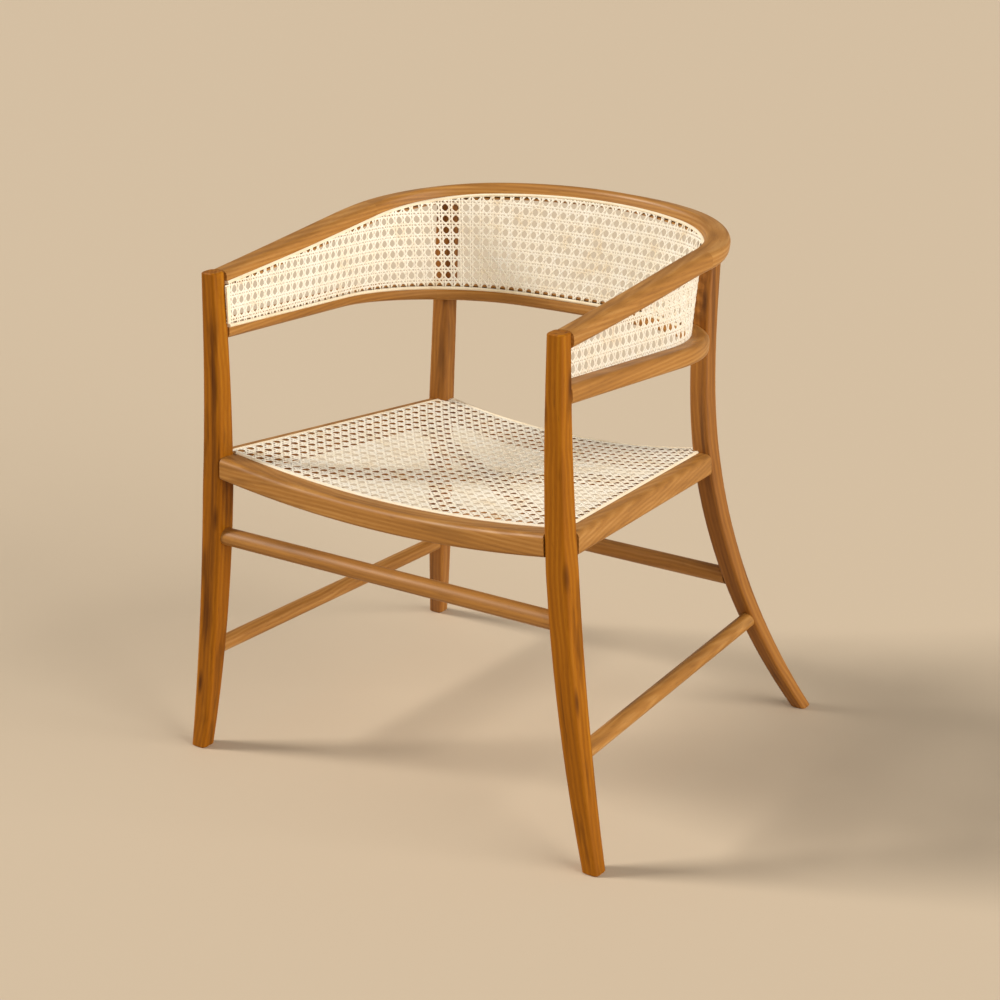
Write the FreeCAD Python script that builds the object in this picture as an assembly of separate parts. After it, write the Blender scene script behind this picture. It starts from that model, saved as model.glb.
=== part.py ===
"""Low armchair of teak with a wrapped cane back and a dished cane seat.

Millimetres. X runs to the right as seen from in front, Y runs to the back and Z up.
The origin is on the floor, in the middle of the chair's outer box.
"""
import FreeCAD, Part
import math
import os

Vector = FreeCAD.Vector

# Stance
overall_depth = 602.0
joint_gap = 0.05
dowel_clearance = 0.1

# Division of curved surfaces: strips in a rounded corner, and the turn of one span of a bend in degrees
arc_strips = 4
run_turn = 24.0

# Front legs: posts that rise to the arms and splay sideways below
front_leg_top_x = 260.0
front_leg_splay = 59.0
front_leg_straight = 64.0
front_leg_size = 32.0
front_leg_thick_height = 390.0
front_leg_top_size = 23.5
front_leg_foot_size = 24.0

# Rear legs: sabre legs that sweep back and out to the floor
rear_leg_splay = 110.0
rear_leg_straight = 113.0
rear_leg_lean = 14.0
rear_waist_height = 470.0
rear_leg_size = 29.5
rear_leg_thick_height = 390.0
rear_leg_top_size = 26.0
rear_leg_foot_size = 23.0
rear_leg_bearing = 46.0
leg_corner_radius = 6.0
leg_end_chamfer = 1.5

# Top rail: two arms and two halves of the crest
arm_top_height = 684.0
crest_rise = 47.5
arm_straight_length = 333.0
top_corner_radius = 155.0
top_back_radius = 396.0
top_rail_width = 33.0
top_rail_height = 24.0
arm_front_width = 26.0
arm_front_height = 22.0
top_outer_radius = 9.0
top_inner_radius = 7.5

# Lower rail: two bent arms and a back, let into the rear legs
arm_rail_spacing = 67.0
lower_rail_fall = 32.0
lower_rail_width = 24.0
lower_rail_height = 24.0
lower_arm_flare = 2.3
lower_corner_radius = 186.0
lower_back_radius = 888.0
lower_edge_radius = 8.0
lower_housing_depth = 7.0

# Cane and the reed splines that hold it in grooves
cane_thickness = 1.6
cane_clearance = 0.15
cane_tuck = 3.5
spline_width = 4.4
spline_depth = 4.4
spline_proud = 2.2
spline_chamfer = 1.6
spline_clearance = 0.15
groove_clearance = 0.2
groove_lip = 2.5
edge_bead_width = 5.0
post_lap = 6.0
post_lap_inset = 0.2

# Plain grids of openings that stand for the weave of the cane
back_openings_long = 12
back_openings_high = 3
back_upright_bar = 36.0
back_cross_bar = 7.0
back_opening_margin = 8.0
seat_openings_wide = 10
seat_openings_deep = 8
seat_bar = 15.0
seat_opening_margin = 24.0

# Seat frame: it slopes down to the back and its front and rear rails dip in the middle
seat_height = 440.0
seat_slope = 4.06
seat_dish = 20.0
seat_rail_height = 30.0
front_rail_width = 46.0
side_rail_width = 36.0
rear_rail_width = 27.0
front_cane_margin = 37.0
side_cane_margin = 24.0
rear_cane_margin = 13.0
seat_edge_radius = 8.0
seat_lower_radius = 5.0
seat_lip_drop = 0.4
side_lip_drop = 2.4

# Crossed slats screwed up under the side rails
brace_width = 22.0
brace_thickness = 10.0
brace_front_inset = 46.0
brace_rear_inset = 34.0
brace_side_inset = 26.0
brace_end_inset = 16.0
screw_head_size = 8.0
screw_head_depth = 2.0
screw_shank_size = 4.0
screw_grip = 14.0
screw_clearance = 0.1

# Stretchers: round bars with turned tenons
stretcher_size = 24.0
side_stretcher_size = 22.0
front_stretcher_height = 324.0
side_stretcher_height = 152.0
rear_stretcher_height = 215.0
tenon_size = 15.0
tenon_length = 14.0

# Dowels
rail_dowel_size = 8.0
rail_dowel_reach = 13.0
leg_dowel_size = 8.0
leg_dowel_rise = 8.0
leg_dowel_sink = 24.0
seat_dowel_size = 7.0
seat_dowel_reach = 12.0
seat_dowel_rail_reach = 20.0
seat_dowel_offset = 6.0
seat_dowel_depth = 18.0

# Values that follow from the sizes above
front_leg_y = -overall_depth / 2 + front_leg_size / 2
rear_foot_y = overall_depth / 2 - rear_leg_foot_size / 2
arm_middle_height = arm_top_height - arm_front_height / 2
crest_middle_height = arm_middle_height + crest_rise
lower_front_height = arm_middle_height - arm_rail_spacing
lower_back_height = lower_front_height - lower_rail_fall
front_splay_height = arm_top_height - front_leg_straight
back_half_width = front_leg_top_x - arm_front_width / 2
groove_depth = spline_depth + groove_clearance
slope_tangent = math.tan(math.radians(seat_slope))
groove_width = cane_thickness + spline_width + 2 * spline_clearance


def taper(height, thick_height, top_height, thick, foot, top):
    """Side of a leg at a height: thickest at thick_height, straight above it and curved below."""
    if height < thick_height:
        return thick - (thick - foot) * ((thick_height - height) / thick_height) ** 2
    return thick - (thick - top) * (height - thick_height) / (top_height - thick_height)


def front_leg_side(height):
    """Side of a front leg's square section at a height."""
    return taper(height, front_leg_thick_height, arm_top_height, front_leg_size,
                 front_leg_foot_size, front_leg_top_size)


def front_leg_x(height):
    """Centre of the right front leg: a parabola out to the foot."""
    drop = max(0.0, front_splay_height - height) / front_splay_height
    return front_leg_top_x + front_leg_splay * drop ** 2


post_rear_y = front_leg_y + front_leg_side(arm_middle_height) / 2


class Plan:
    """Right half of a rail's inner line seen from above: an arm, a bend and a bowed back."""

    def __init__(self, centre_x, centre_y, bend, bow, flare, front_y):
        self.centre = (centre_x, centre_y)
        self.bend = bend
        self.bow = bow
        self.flare = math.radians(flare)
        self.front_y = front_y
        self.bow_centre = centre_y - math.sqrt((bow - bend) ** 2 - centre_x ** 2)
        self.turn = math.atan2(centre_y - self.bow_centre, centre_x)

    def right(self, t):
        """Point and outward bearing at t: 0 to 1 on the arm, to 2 on the bend, to 3 on the back."""
        cx, cy = self.centre
        bend_x = cx + self.bend * math.cos(self.flare)
        bend_y = cy - self.bend * math.sin(self.flare)
        if t <= 1:
            y = self.front_y + (bend_y - self.front_y) * t
            return bend_x - (bend_y - y) * math.tan(self.flare), y, -self.flare
        if t <= 2:
            angle = -self.flare + (self.turn + self.flare) * (t - 1)
            return cx + self.bend * math.cos(angle), cy + self.bend * math.sin(angle), angle
        angle = self.turn + (math.pi / 2 - self.turn) * (t - 2)
        return self.bow * math.cos(angle), self.bow_centre + self.bow * math.sin(angle), angle

    def point(self, t):
        """Point and bearing on the whole rail: t runs from 0 at the right post to 6 at the left."""
        if t <= 3:
            return self.right(t)
        x, y, angle = self.right(6 - t)
        return -x, y, math.pi - angle

    def arm_t(self, y):
        """The t of a point on the right arm at a depth."""
        bend_y = self.centre[1] - self.bend * math.sin(self.flare)
        return (y - self.front_y) / (bend_y - self.front_y)

    def at_bearing(self, degrees):
        """The t on the right-hand bend where the rail faces the given bearing."""
        return 1 + (math.radians(degrees) + self.flare) / (self.turn + self.flare)

    def crossing(self, x, y, angle):
        """The t where the rail crosses the upright plane through (x, y) along the bearing."""
        low, high = 0.0, 6.0
        for _ in range(40):
            middle = (low + high) / 2
            px, py, _ = self.point(middle)
            ahead = (py - y) * math.cos(angle) - (px - x) * math.sin(angle)
            low, high = (middle, high) if ahead < 0 else (low, middle)
        return (low + high) / 2

    def facing(self, x, y):
        """The t whose own section plane passes through (x, y)."""
        low, high = 0.0, 6.0
        for _ in range(40):
            middle = (low + high) / 2
            px, py, angle = self.point(middle)
            ahead = (y - py) * math.cos(angle) - (x - px) * math.sin(angle)
            low, high = (middle, high) if ahead > 0 else (low, middle)
        return (low + high) / 2


top_plan = Plan(back_half_width - top_corner_radius, front_leg_y + arm_straight_length,
                top_corner_radius, top_back_radius, 0.0, front_leg_y)
top_back_y = top_plan.right(3)[1]


def top_rail_z(y):
    """Middle height of the top rail: it climbs from the posts and a little faster at the back."""
    share = (y - post_rear_y) / (top_back_y - post_rear_y)
    return arm_middle_height + (crest_middle_height - arm_middle_height) * (0.7 * share + 0.3 * share ** 2)


def top_rail_size(t):
    """Width and height of the top rail's section: slimmer at the posts."""
    share = math.sin(math.pi / 2 * max(0.0, min(1.0, t, 6 - t)))
    width = arm_front_width + (top_rail_width - arm_front_width) * share
    height = arm_front_height + (top_rail_height - arm_front_height) * share
    return width, height


# The rear leg's top stands in the middle of the top rail at the bearing
leg_joint_t = top_plan.at_bearing(rear_leg_bearing)
joint_x, joint_y, joint_angle = top_plan.point(leg_joint_t)
rear_leg_top_x = joint_x + top_rail_width / 2 * math.cos(joint_angle)
rear_leg_top_y = joint_y + top_rail_width / 2 * math.sin(joint_angle)
rear_leg_top_z = top_rail_z(joint_y)
rear_splay_height = rear_leg_top_z - rear_leg_straight
rear_waist_y = rear_leg_top_y - rear_leg_lean


def rear_leg_side(height):
    """Side of a rear leg's square section at a height."""
    return taper(height, rear_leg_thick_height, rear_leg_top_z, rear_leg_size,
                 rear_leg_foot_size, rear_leg_top_size)


def rear_leg_x(height):
    """Centre of the right rear leg: it splays out in a power curve below the splay height."""
    drop = max(0.0, rear_splay_height - height) / rear_splay_height
    return rear_leg_top_x + rear_leg_splay * drop ** 2.2


def rear_leg_y(height):
    """Centre of a rear leg: foremost at the waist, swept back below and leaning back above."""
    if height < rear_waist_height:
        drop = (rear_waist_height - height) / rear_waist_height
        return rear_waist_y + (rear_foot_y - rear_waist_y) * drop ** 1.85
    rise = (height - rear_waist_height) / (rear_leg_top_z - rear_waist_height)
    return rear_waist_y + rear_leg_lean * rise ** 1.8


def lower_plan_from_leg():
    """The lower rail's plan, with its bend placed so that its outer face is let into the leg."""
    flare = math.radians(lower_arm_flare)
    height = (lower_front_height + 3 * lower_back_height) / 4
    leg_x = rear_leg_x(height)
    leg_y = rear_leg_y(height)
    half = rear_leg_side(height) / 2
    corner_reach = (half - leg_corner_radius) * math.sqrt(2) + leg_corner_radius
    reach = lower_corner_radius + lower_rail_width + corner_reach - lower_housing_depth
    centre_y = 0.0
    for _ in range(20):
        centre_x = back_half_width - (lower_corner_radius
                                      + (front_leg_y - centre_y) * math.sin(flare)) / math.cos(flare)
        centre_y = leg_y - math.sqrt(reach ** 2 - (leg_x - centre_x) ** 2)
    return Plan(centre_x, centre_y, lower_corner_radius, lower_back_radius, lower_arm_flare, front_leg_y)


lower_plan = lower_plan_from_leg()
lower_back_y = lower_plan.right(3)[1]


def lower_rail_z(y):
    """Middle height of the lower rail: a straight slope down to the back."""
    share = (y - post_rear_y) / (lower_back_y - post_rear_y)
    return lower_front_height + (lower_back_height - lower_front_height) * share


class Frame:
    """Upright section plane across the back: origin on the cane line, out and up along the cane."""

    def __init__(self, origin, toward, angle, lift):
        self.origin = origin
        bearing = Vector(math.cos(angle), math.sin(angle), 0)
        self.along = Vector(-math.sin(angle), math.cos(angle), 0)
        self.up = (toward - origin) * lift
        self.span = self.up.Length
        self.up.normalize()
        self.out = bearing - self.up * bearing.dot(self.up)
        self.out.normalize()

    def place(self, a, b):
        """Point at a outwards and b upwards."""
        return self.origin + self.out * a + self.up * b


def line_point(plan, height, t):
    """Point of a rail's inner line in space."""
    x, y, _ = plan.point(t)
    return Vector(x, y, height(y))


def top_frame(t):
    """Section of the top rail, its origin at the middle of the rail's inner face."""
    x, y, angle = top_plan.point(t)
    foot = line_point(lower_plan, lower_rail_z, lower_plan.crossing(x, y, angle))
    return Frame(Vector(x, y, top_rail_z(y)), foot, angle, -1)


def lower_frame(t):
    """Section of the lower rail, its origin at the middle of the rail's inner face."""
    x, y, angle = lower_plan.point(t)
    head = line_point(top_plan, top_rail_z, top_plan.crossing(x, y, angle))
    return Frame(Vector(x, y, lower_rail_z(y)), head, angle, 1)


def corner_arcs(corners):
    """Arcs of each corner (a, b, radius), as (start, apex, end, weight); a sharp one has no length."""
    found = []
    for i in range(len(corners)):
        a, b, radius = corners[i]
        here = Vector(a, b, 0)
        if radius == 0:
            found.append([(here, here, here, 1.0)])
            continue
        before = Vector(corners[i - 1][0], corners[i - 1][1], 0) - here
        after = Vector(corners[(i + 1) % len(corners)][0], corners[(i + 1) % len(corners)][1], 0) - here
        before.normalize()
        after.normalize()
        half = before.getAngle(after) / 2
        middle = (before + after).normalize() * (radius / math.sin(half))
        spoke = before * (radius / math.tan(half)) - middle
        turn = math.copysign(math.pi - 2 * half, after.cross(before).z)
        step = FreeCAD.Rotation(Vector(0, 0, 1), math.degrees(turn / arc_strips))
        weight = math.cos(turn / arc_strips / 2)
        arcs = []
        for _ in range(arc_strips):
            ahead = step.multVec(spoke)
            apex = (spoke + ahead) / (2 * weight ** 2)
            arcs.append((here + middle + spoke, here + middle + apex, here + middle + ahead, weight))
            spoke = ahead
        found.append(arcs)
    return found


def strips(corners, place):
    """The loop's strips as rows of control points in space with their weights."""
    arcs = corner_arcs(corners)
    found = []
    for i in range(len(arcs)):
        for start, apex, end, weight in arcs[i]:
            if weight < 1:
                found.append(([place(p.x, p.y) for p in (start, apex, end)], [1.0, weight, 1.0]))
        following = arcs[(i + 1) % len(arcs)][0][0]
        found.append(([place(p.x, p.y) for p in (end, following)], [1.0, 1.0]))
    return found


def rounded_loop(corners, place):
    """Closed wire through corners (a, b, radius); place puts a and b in space."""
    edges = []
    for points, weights in strips(corners, place):
        if len(points) == 2:
            edges.append(Part.LineSegment(*points).toShape())
            continue
        middle = (points[0] + points[2] + points[1] * (2 * weights[1])) / (2 + 2 * weights[1])
        edges.append(Part.Arc(points[0], middle, points[2]).toShape())
    return Part.Wire(edges)


def run_faces(section, stations):
    """Faces of one smooth run: each control point follows a cubic with the run's own end tangents."""
    rows = [strips(*section(t)) for t in stations]
    nudge = (stations[-1] - stations[0]) * 1e-4
    after_first = strips(*section(stations[0] + nudge))
    before_last = strips(*section(stations[-1] - nudge))
    faces = []
    for k in range(len(rows[0])):
        weights = rows[0][k][1]
        poles = []
        for m in range(len(weights)):
            points = [row[k][0][m] for row in rows]
            curve = Part.BSplineCurve()
            curve.interpolate(Points=points, Parameters=stations, Scale=False,
                              InitialTangent=(after_first[k][0][m] - points[0]) / nudge,
                              FinalTangent=(points[-1] - before_last[k][0][m]) / nudge)
            poles.append(curve.getPoles())
        degree = len(weights) - 1
        surface = Part.BSplineSurface()
        surface.buildFromPolesMultsKnots(poles, [degree + 1] * 2, curve.getMultiplicities(), [0, 1],
                                         curve.getKnots(), False, False, degree, curve.Degree,
                                         [[w] * len(poles[0]) for w in weights])
        faces.append(surface.toShape())
    return faces


def skin(section, *runs):
    """Solid whose section at t is section(t), carried through runs of stations that follow on."""
    faces = []
    for stations in runs:
        faces += run_faces(section, stations)
    for t in (runs[0][0], runs[-1][-1]):
        faces.append(Part.Face(rounded_loop(*section(t))))
    shell = Part.makeShell(faces)
    shell.sewShape()
    solid = Part.makeSolid(shell)
    if solid.Volume < 0:
        solid.reverse()
    return solid


def steps(first, last, count):
    """Evenly spaced values from first to last."""
    return [first + (last - first) * i / (count - 1) for i in range(count)]


def smooth_runs(plan, other, first, last):
    """Stations from first to last on a plan, in runs that end where it or the other plan changes curve."""
    changes = [1, 2, 4, 5] + [plan.facing(*other.point(t)[:2]) for t in (1, 2, 4, 5)]
    marks = [first] + sorted(t for t in changes if first + 0.01 < t < last - 0.01) + [last]
    runs = []
    for start, end in zip(marks, marks[1:]):
        turn = plan.point(end)[2] - plan.point(start)[2]
        runs.append(steps(start, end, 3 + int(turn / math.radians(run_turn))))
    return runs


def mirrored(shape):
    """The same piece on the other side of the chair."""
    return shape.mirror(Vector(0, 0, 0), Vector(1, 0, 0))


def trim(shape, point, normal):
    """Cut away everything on the side of the plane that the normal points to."""
    reach = 4 * overall_depth
    box = Part.makeBox(reach, reach, reach, Vector(-reach / 2, -reach / 2, 0))
    turn = FreeCAD.Rotation(Vector(0, 0, 1), normal)
    box.Placement = FreeCAD.Placement(point, turn).multiply(box.Placement)
    return shape.cut(box)


def cylinder(start, end, diameter):
    """Round bar from start to end."""
    axis = end - start
    return Part.makeCylinder(diameter / 2, axis.Length, start, axis)


def bore(shape, start, end, diameter):
    """Drill a dowel's hole, a little wider and deeper than the dowel."""
    axis = end - start
    axis.normalize()
    slack = axis * dowel_clearance
    return shape.cut(cylinder(start - slack, end + slack, diameter + 2 * dowel_clearance))


def post_face(height, gap):
    """Point and normal of the plane just behind the posts at a height."""
    y = front_leg_y + front_leg_side(height) / 2 + gap
    return Vector(0, y, height), Vector(0, -1, slope_at(front_leg_side, height) / 2)


def square_section(x, y, height, side):
    """Horizontal leg section: a square with rounded corners."""
    h = side / 2
    corners = [(-h, -h), (h, -h), (h, h), (-h, h)]
    return [(a, b, leg_corner_radius) for a, b in corners], lambda a, b: Vector(x + a, y + b, height)


def eased(side, from_end):
    """Side of a leg's section at a distance from a flat end whose edges are chamfered."""
    return side - 2 * max(0.0, leg_end_chamfer - from_end)


def front_leg_section(height):
    """Section of the right front post at a height."""
    side = eased(front_leg_side(height), min(height, arm_top_height - height))
    return square_section(front_leg_x(height), front_leg_y, height, side)


def rear_leg_section(height):
    """Section of the right rear leg at a height."""
    side = eased(rear_leg_side(height), height)
    return square_section(rear_leg_x(height), rear_leg_y(height), height, side)


def front_leg():
    """Right front post, from the floor to the top of the arm."""
    marks = [0, leg_end_chamfer, front_leg_thick_height, front_splay_height,
             arm_top_height - leg_end_chamfer, arm_top_height]
    return skin(front_leg_section, *[list(run) for run in zip(marks, marks[1:])])


def rear_leg():
    """Right rear leg, from the floor up into the top rail."""
    below = steps(leg_end_chamfer, rear_leg_thick_height, 4)
    above = steps(rear_leg_thick_height, rear_leg_top_z, 4)
    return skin(rear_leg_section, [0, leg_end_chamfer], below, above)


def groove_corners(low, high):
    """Corners of a groove in a rail's inner face, from its high side to its low side."""
    return [(0, high, 0), (groove_depth, high, 0), (groove_depth, low, 0), (0, low, 0)]


def top_groove(t):
    """Lower and upper side of the groove in the top rail."""
    low = -top_rail_size(t)[1] / 2 + groove_lip
    return low, low + groove_width


def lower_groove():
    """Lower and upper side of the groove in the lower rail."""
    high = lower_rail_height / 2 - groove_lip
    return high - groove_width, high


def top_section(t):
    """Section of the top rail with its groove."""
    width, height = top_rail_size(t)
    low, high = top_groove(t)
    loop = [(0, -height / 2, 0), (width, -height / 2, top_outer_radius),
            (width, height / 2, top_outer_radius), (0, height / 2, top_inner_radius)]
    return loop + groove_corners(low, high), top_frame(t).place


def lower_section(t):
    """Section of the lower rail with its groove."""
    half = lower_rail_height / 2
    low, high = lower_groove()
    loop = [(lower_rail_width, -half, lower_edge_radius), (lower_rail_width, half, lower_edge_radius),
            (0, half, 0)]
    loop += groove_corners(low, high)
    loop.append((0, -half, lower_edge_radius))
    return loop, lower_frame(t).place


def plain_section(frame, width, height, radius):
    """Section of a rail without its groove, larger by the joint gap, to cut a leg with."""
    far = width + joint_gap
    half = height / 2 + joint_gap
    loop = [(-joint_gap, -half, 0), (far, -half, radius),
            (far, half, radius), (-joint_gap, half, radius)]
    return loop, frame.place


def top_bed():
    """Room for the top rail in the right rear leg."""
    return skin(lambda t: plain_section(top_frame(t), *top_rail_size(t), top_outer_radius),
                steps(leg_joint_t - 0.4, leg_joint_t + 0.4, 3))


def lower_bed():
    """Room for the lower rail in the right rear leg."""
    middle = lower_plan.at_bearing(rear_leg_bearing)
    size = lower_rail_width, lower_rail_height
    return skin(lambda t: plain_section(lower_frame(t), *size, lower_edge_radius),
                steps(middle - 0.4, middle + 0.4, 3))


def rail_middle(frame, width):
    """Middle of a rail's section."""
    return frame.place(width / 2, 0)


def spline_section(low, frame):
    """Section of a reed spline that starts at low and stands proud of the rail's face."""
    high = low + spline_width
    loop = [(spline_depth, low, 0), (spline_depth, high, 0),
            (spline_chamfer - spline_proud, high, 0), (-spline_proud, high - spline_chamfer, 0),
            (-spline_proud, low + spline_chamfer, 0), (spline_chamfer - spline_proud, low, 0)]
    return loop, frame.place


def top_spline_section(t):
    """Section of the reed in the top rail's groove, above the cane's edge."""
    return spline_section(top_groove(t)[0] + cane_thickness + spline_clearance, top_frame(t))


def lower_spline_section(t):
    """Section of the reed in the lower rail's groove, below the cane's edge."""
    return spline_section(lower_groove()[0] + spline_clearance, lower_frame(t))


def cane_section(t):
    """Section of the back's cane: flat on the rails and tucked into both grooves."""
    frame = top_frame(t)
    foot = -frame.span + lower_groove()[1]
    head = top_groove(t)[0]
    inner = -cane_thickness - cane_clearance
    outer = -cane_clearance
    loop = [(inner, foot - cane_thickness), (cane_tuck, foot - cane_thickness),
            (cane_tuck, foot - cane_clearance), (outer, foot - cane_clearance),
            (outer, head + cane_clearance), (cane_tuck, head + cane_clearance),
            (cane_tuck, head + cane_thickness), (inner, head + cane_thickness)]
    return [(a, b, 0) for a, b in loop], frame.place


def lap_section(t):
    """Section of the cane's front end, a slightly thinner tongue that lies flat beside the post."""
    frame = top_frame(t)
    foot = -frame.span + lower_groove()[1]
    head = top_groove(t)[0]
    inner = -cane_thickness - cane_clearance + post_lap_inset
    outer = -cane_clearance - post_lap_inset
    loop = [(inner, foot), (outer, foot), (outer, head), (inner, head)]
    return [(a, b, 0) for a, b in loop], frame.place


def back_station(length):
    """The t of the top rail's inner line at a length from the middle of the back, on the right side."""
    bow = top_plan.bow * (math.pi / 2 - top_plan.turn)
    bend = top_plan.bend * top_plan.turn
    if length < bow:
        return 3 - length / bow
    if length < bow + bend:
        return 2 - (length - bow) / bend
    return top_plan.arm_t(top_plan.centre[1] - (length - bow - bend))


def opening_section(t, row):
    """Section of a cutter for one row of openings in the back's cane."""
    frame = top_frame(t)
    foot = -frame.span + lower_groove()[1] + back_opening_margin
    head = top_groove(t)[0] - back_opening_margin
    pitch = (head - foot + back_cross_bar) / back_openings_high
    low = foot + row * pitch
    high = low + pitch - back_cross_bar
    reach = spline_width
    return [(a, b, 0) for a, b in ((-reach, low), (reach, low), (reach, high), (-reach, high))], frame.place


def back_openings():
    """Cutters for the grid of openings in the right half of the back's cane."""
    bow = top_plan.bow * (math.pi / 2 - top_plan.turn)
    bend = top_plan.bend * top_plan.turn
    length = bow + bend + top_plan.centre[1] - post_rear_y
    pitch = 2 * length / back_openings_long
    cutters = []
    for column in range(back_openings_long // 2):
        near = column * pitch + back_upright_bar / 2
        stations = steps(back_station(near + pitch - back_upright_bar), back_station(near), 4)
        for row in range(back_openings_high):
            cutters.append(skin(lambda t: opening_section(t, row), stations))
    return cutters


def edge_bead_section(t):
    """Section of the upright bead on the cane's front edge."""
    frame = top_frame(t)
    foot = -frame.span + lower_groove()[1]
    head = top_groove(t)[0]
    near = -cane_thickness - 2 * cane_clearance
    loop = [(near, foot), (near, head), (near - spline_proud, head), (near - spline_proud, foot)]
    return [(a, b, 0) for a, b in loop], frame.place


def seat_point(x, y, z):
    """Point of the seat frame: y behind the chair's front face, z above the sloping seat plane."""
    return Vector(x, y - overall_depth / 2, seat_height - y * slope_tangent + z)


def seat_z(y):
    """Height of the seat plane above the floor at a depth in the chair."""
    return seat_height - (y + overall_depth / 2) * slope_tangent


# Slats are laid out flat at zero and then sloped up against the undersides of the rails
slat_turn = FreeCAD.Rotation(Vector(1, 0, 0), -seat_slope)
slat_place = FreeCAD.Placement(Vector(0, -overall_depth / 2, seat_height), slat_turn)
slat_place = slat_place.multiply(FreeCAD.Placement(Vector(0, 0, -seat_rail_height), FreeCAD.Rotation()))


def under_seat(shape):
    """Slope a flat slat or a screw into its place."""
    done = shape.copy()
    done.Placement = slat_place.multiply(shape.Placement)
    return done


front_joint_z = seat_z(front_leg_y) - seat_rail_height / 2
rear_joint_y = rear_waist_y
for round_number in range(20):
    rear_joint_y = rear_leg_y(seat_z(rear_joint_y) - seat_rail_height / 2)
rear_joint_z = seat_z(rear_joint_y) - seat_rail_height / 2

post_half = front_leg_side(front_joint_z) / 2
post_x = front_leg_x(front_joint_z)
leg_half = rear_leg_side(rear_joint_z) / 2
leg_x = rear_leg_x(rear_joint_z)


def slope_at(curve, height):
    """How much a leg's side or centre changes for each millimetre of height."""
    return curve(height + 0.5) - curve(height - 0.5)


# How the legs' faces move with height where the seat meets them
post_face_slope = slope_at(front_leg_x, front_joint_z) - slope_at(front_leg_side, front_joint_z) / 2
leg_inner_slope = slope_at(rear_leg_x, rear_joint_z) - slope_at(rear_leg_side, rear_joint_z) / 2
leg_face_slope = slope_at(rear_leg_y, rear_joint_z) - slope_at(rear_leg_side, rear_joint_z) / 2
reed_gap = 2 * spline_clearance

# The side rail's outer face runs from the post's outer face to the leg's
side_front = Vector(post_x + post_half, front_leg_y + post_half + overall_depth / 2, 0)
side_rear = Vector(leg_x + leg_half, rear_joint_y - leg_half + overall_depth / 2, 0)
rear_face_y = rear_joint_y + leg_half + overall_depth / 2
front_span = post_x - post_half
rear_span = leg_x - leg_half


def side_line(y, inset):
    """X of a line that runs inside the side rail's outer face, at a depth in the seat frame."""
    share = (y - side_front.y) / (side_rear.y - side_front.y)
    return side_front.x + (side_rear.x - side_front.x) * share - inset


def dip_radius(half_width):
    """Radius of the arc that dips by the seat's dish over a width."""
    return (half_width ** 2 + seat_dish ** 2) / (2 * seat_dish)


cane_front_y = front_cane_margin
cane_rear_y = rear_face_y - rear_cane_margin
cane_front_half = side_line(cane_front_y, side_cane_margin)
cane_rear_half = side_line(cane_rear_y, side_cane_margin)


def dipped(corners, edge_y, half_width, reach):
    """Rail or reed whose section (y, z) follows the dip of the cane's edge, out to a reach."""
    radius = dip_radius(half_width)
    angle = math.degrees(math.asin(min(1.0, reach / radius)))
    face = Part.Face(rounded_loop(corners, lambda a, b: seat_point(0, a, b - seat_dish)))
    axis_point = seat_point(0, edge_y, radius - seat_dish)
    face.rotate(axis_point, Vector(0, 1, 0), -angle)
    return face.revolve(axis_point, Vector(0, 1, 0), 2 * angle)


seat_groove_width = spline_width + 2 * spline_clearance


def seat_groove_corners(edge, sign, drop):
    """Corners of the groove beside the cane's edge: the cane lies on the side of sign."""
    far = edge - sign * seat_groove_width
    return [(far, 0, 0), (far, -groove_depth, 0), (edge, -groove_depth, 0), (edge, -drop, 0)]


def end_cut(rail, x, height, lean, gap):
    """Shoulder both ends of a cross rail against the inner faces of a pair of legs."""
    for side in (1, -1):
        rail = trim(rail, Vector(side * (x - gap), 0, height), Vector(side, 0, -lean))
    return rail


def side_cut(bar, gap):
    """Shoulder both ends of a side bar against the post and the rear leg."""
    bar = trim(bar, *post_face(front_joint_z, gap))
    return trim(bar, Vector(0, rear_joint_y - leg_half - gap, rear_joint_z), Vector(0, 1, -leg_face_slope))


def seat_front_rail():
    """Front rail of the seat, dipped in the middle."""
    bottom = -seat_rail_height
    corners = [(0, bottom, seat_lower_radius), (0, 0, seat_edge_radius)]
    corners += seat_groove_corners(cane_front_y, 1, seat_lip_drop)
    corners += [(front_rail_width, -seat_lip_drop, 0), (front_rail_width, bottom, 0)]
    rail = dipped(corners, cane_front_y, cane_front_half, front_span + front_leg_size)
    rail = end_cut(rail, front_span, front_joint_z, post_face_slope, joint_gap)
    room = side_room()
    return rail.cut(room).cut(mirrored(room))


def seat_rear_rail():
    """Rear rail of the seat, dipped in the middle."""
    bottom = -seat_rail_height
    back = rear_face_y
    corners = [(back - rear_rail_width, bottom, 0), (back - rear_rail_width, -seat_lip_drop, 0)]
    corners += seat_groove_corners(cane_rear_y, -1, seat_lip_drop)[::-1]
    corners += [(back, 0, seat_lower_radius), (back, bottom, seat_lower_radius)]
    rail = dipped(corners, cane_rear_y, cane_rear_half, rear_span + rear_leg_size)
    rail = end_cut(rail, rear_span, rear_joint_z, leg_inner_slope, joint_gap)
    room = side_room()
    return rail.cut(room).cut(mirrored(room))


side_start = seat_point(side_front.x, side_front.y, 0)
side_run = seat_point(side_rear.x, side_rear.y, 0) - side_start
seat_normal = Vector(0, math.sin(math.radians(seat_slope)), math.cos(math.radians(seat_slope)))
side_in = seat_normal.cross(side_run)
side_in.normalize()


def side_bar(corners, overrun):
    """Right-hand bar with the section (inset, z), along the side rail and past both its ends."""
    extra = side_run * (overrun / side_run.Length)
    start = side_start - extra
    wire = rounded_loop(corners, lambda a, b: start + side_in * a + seat_normal * b)
    return Part.Face(wire).extrude(side_run + extra * 2)


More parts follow.
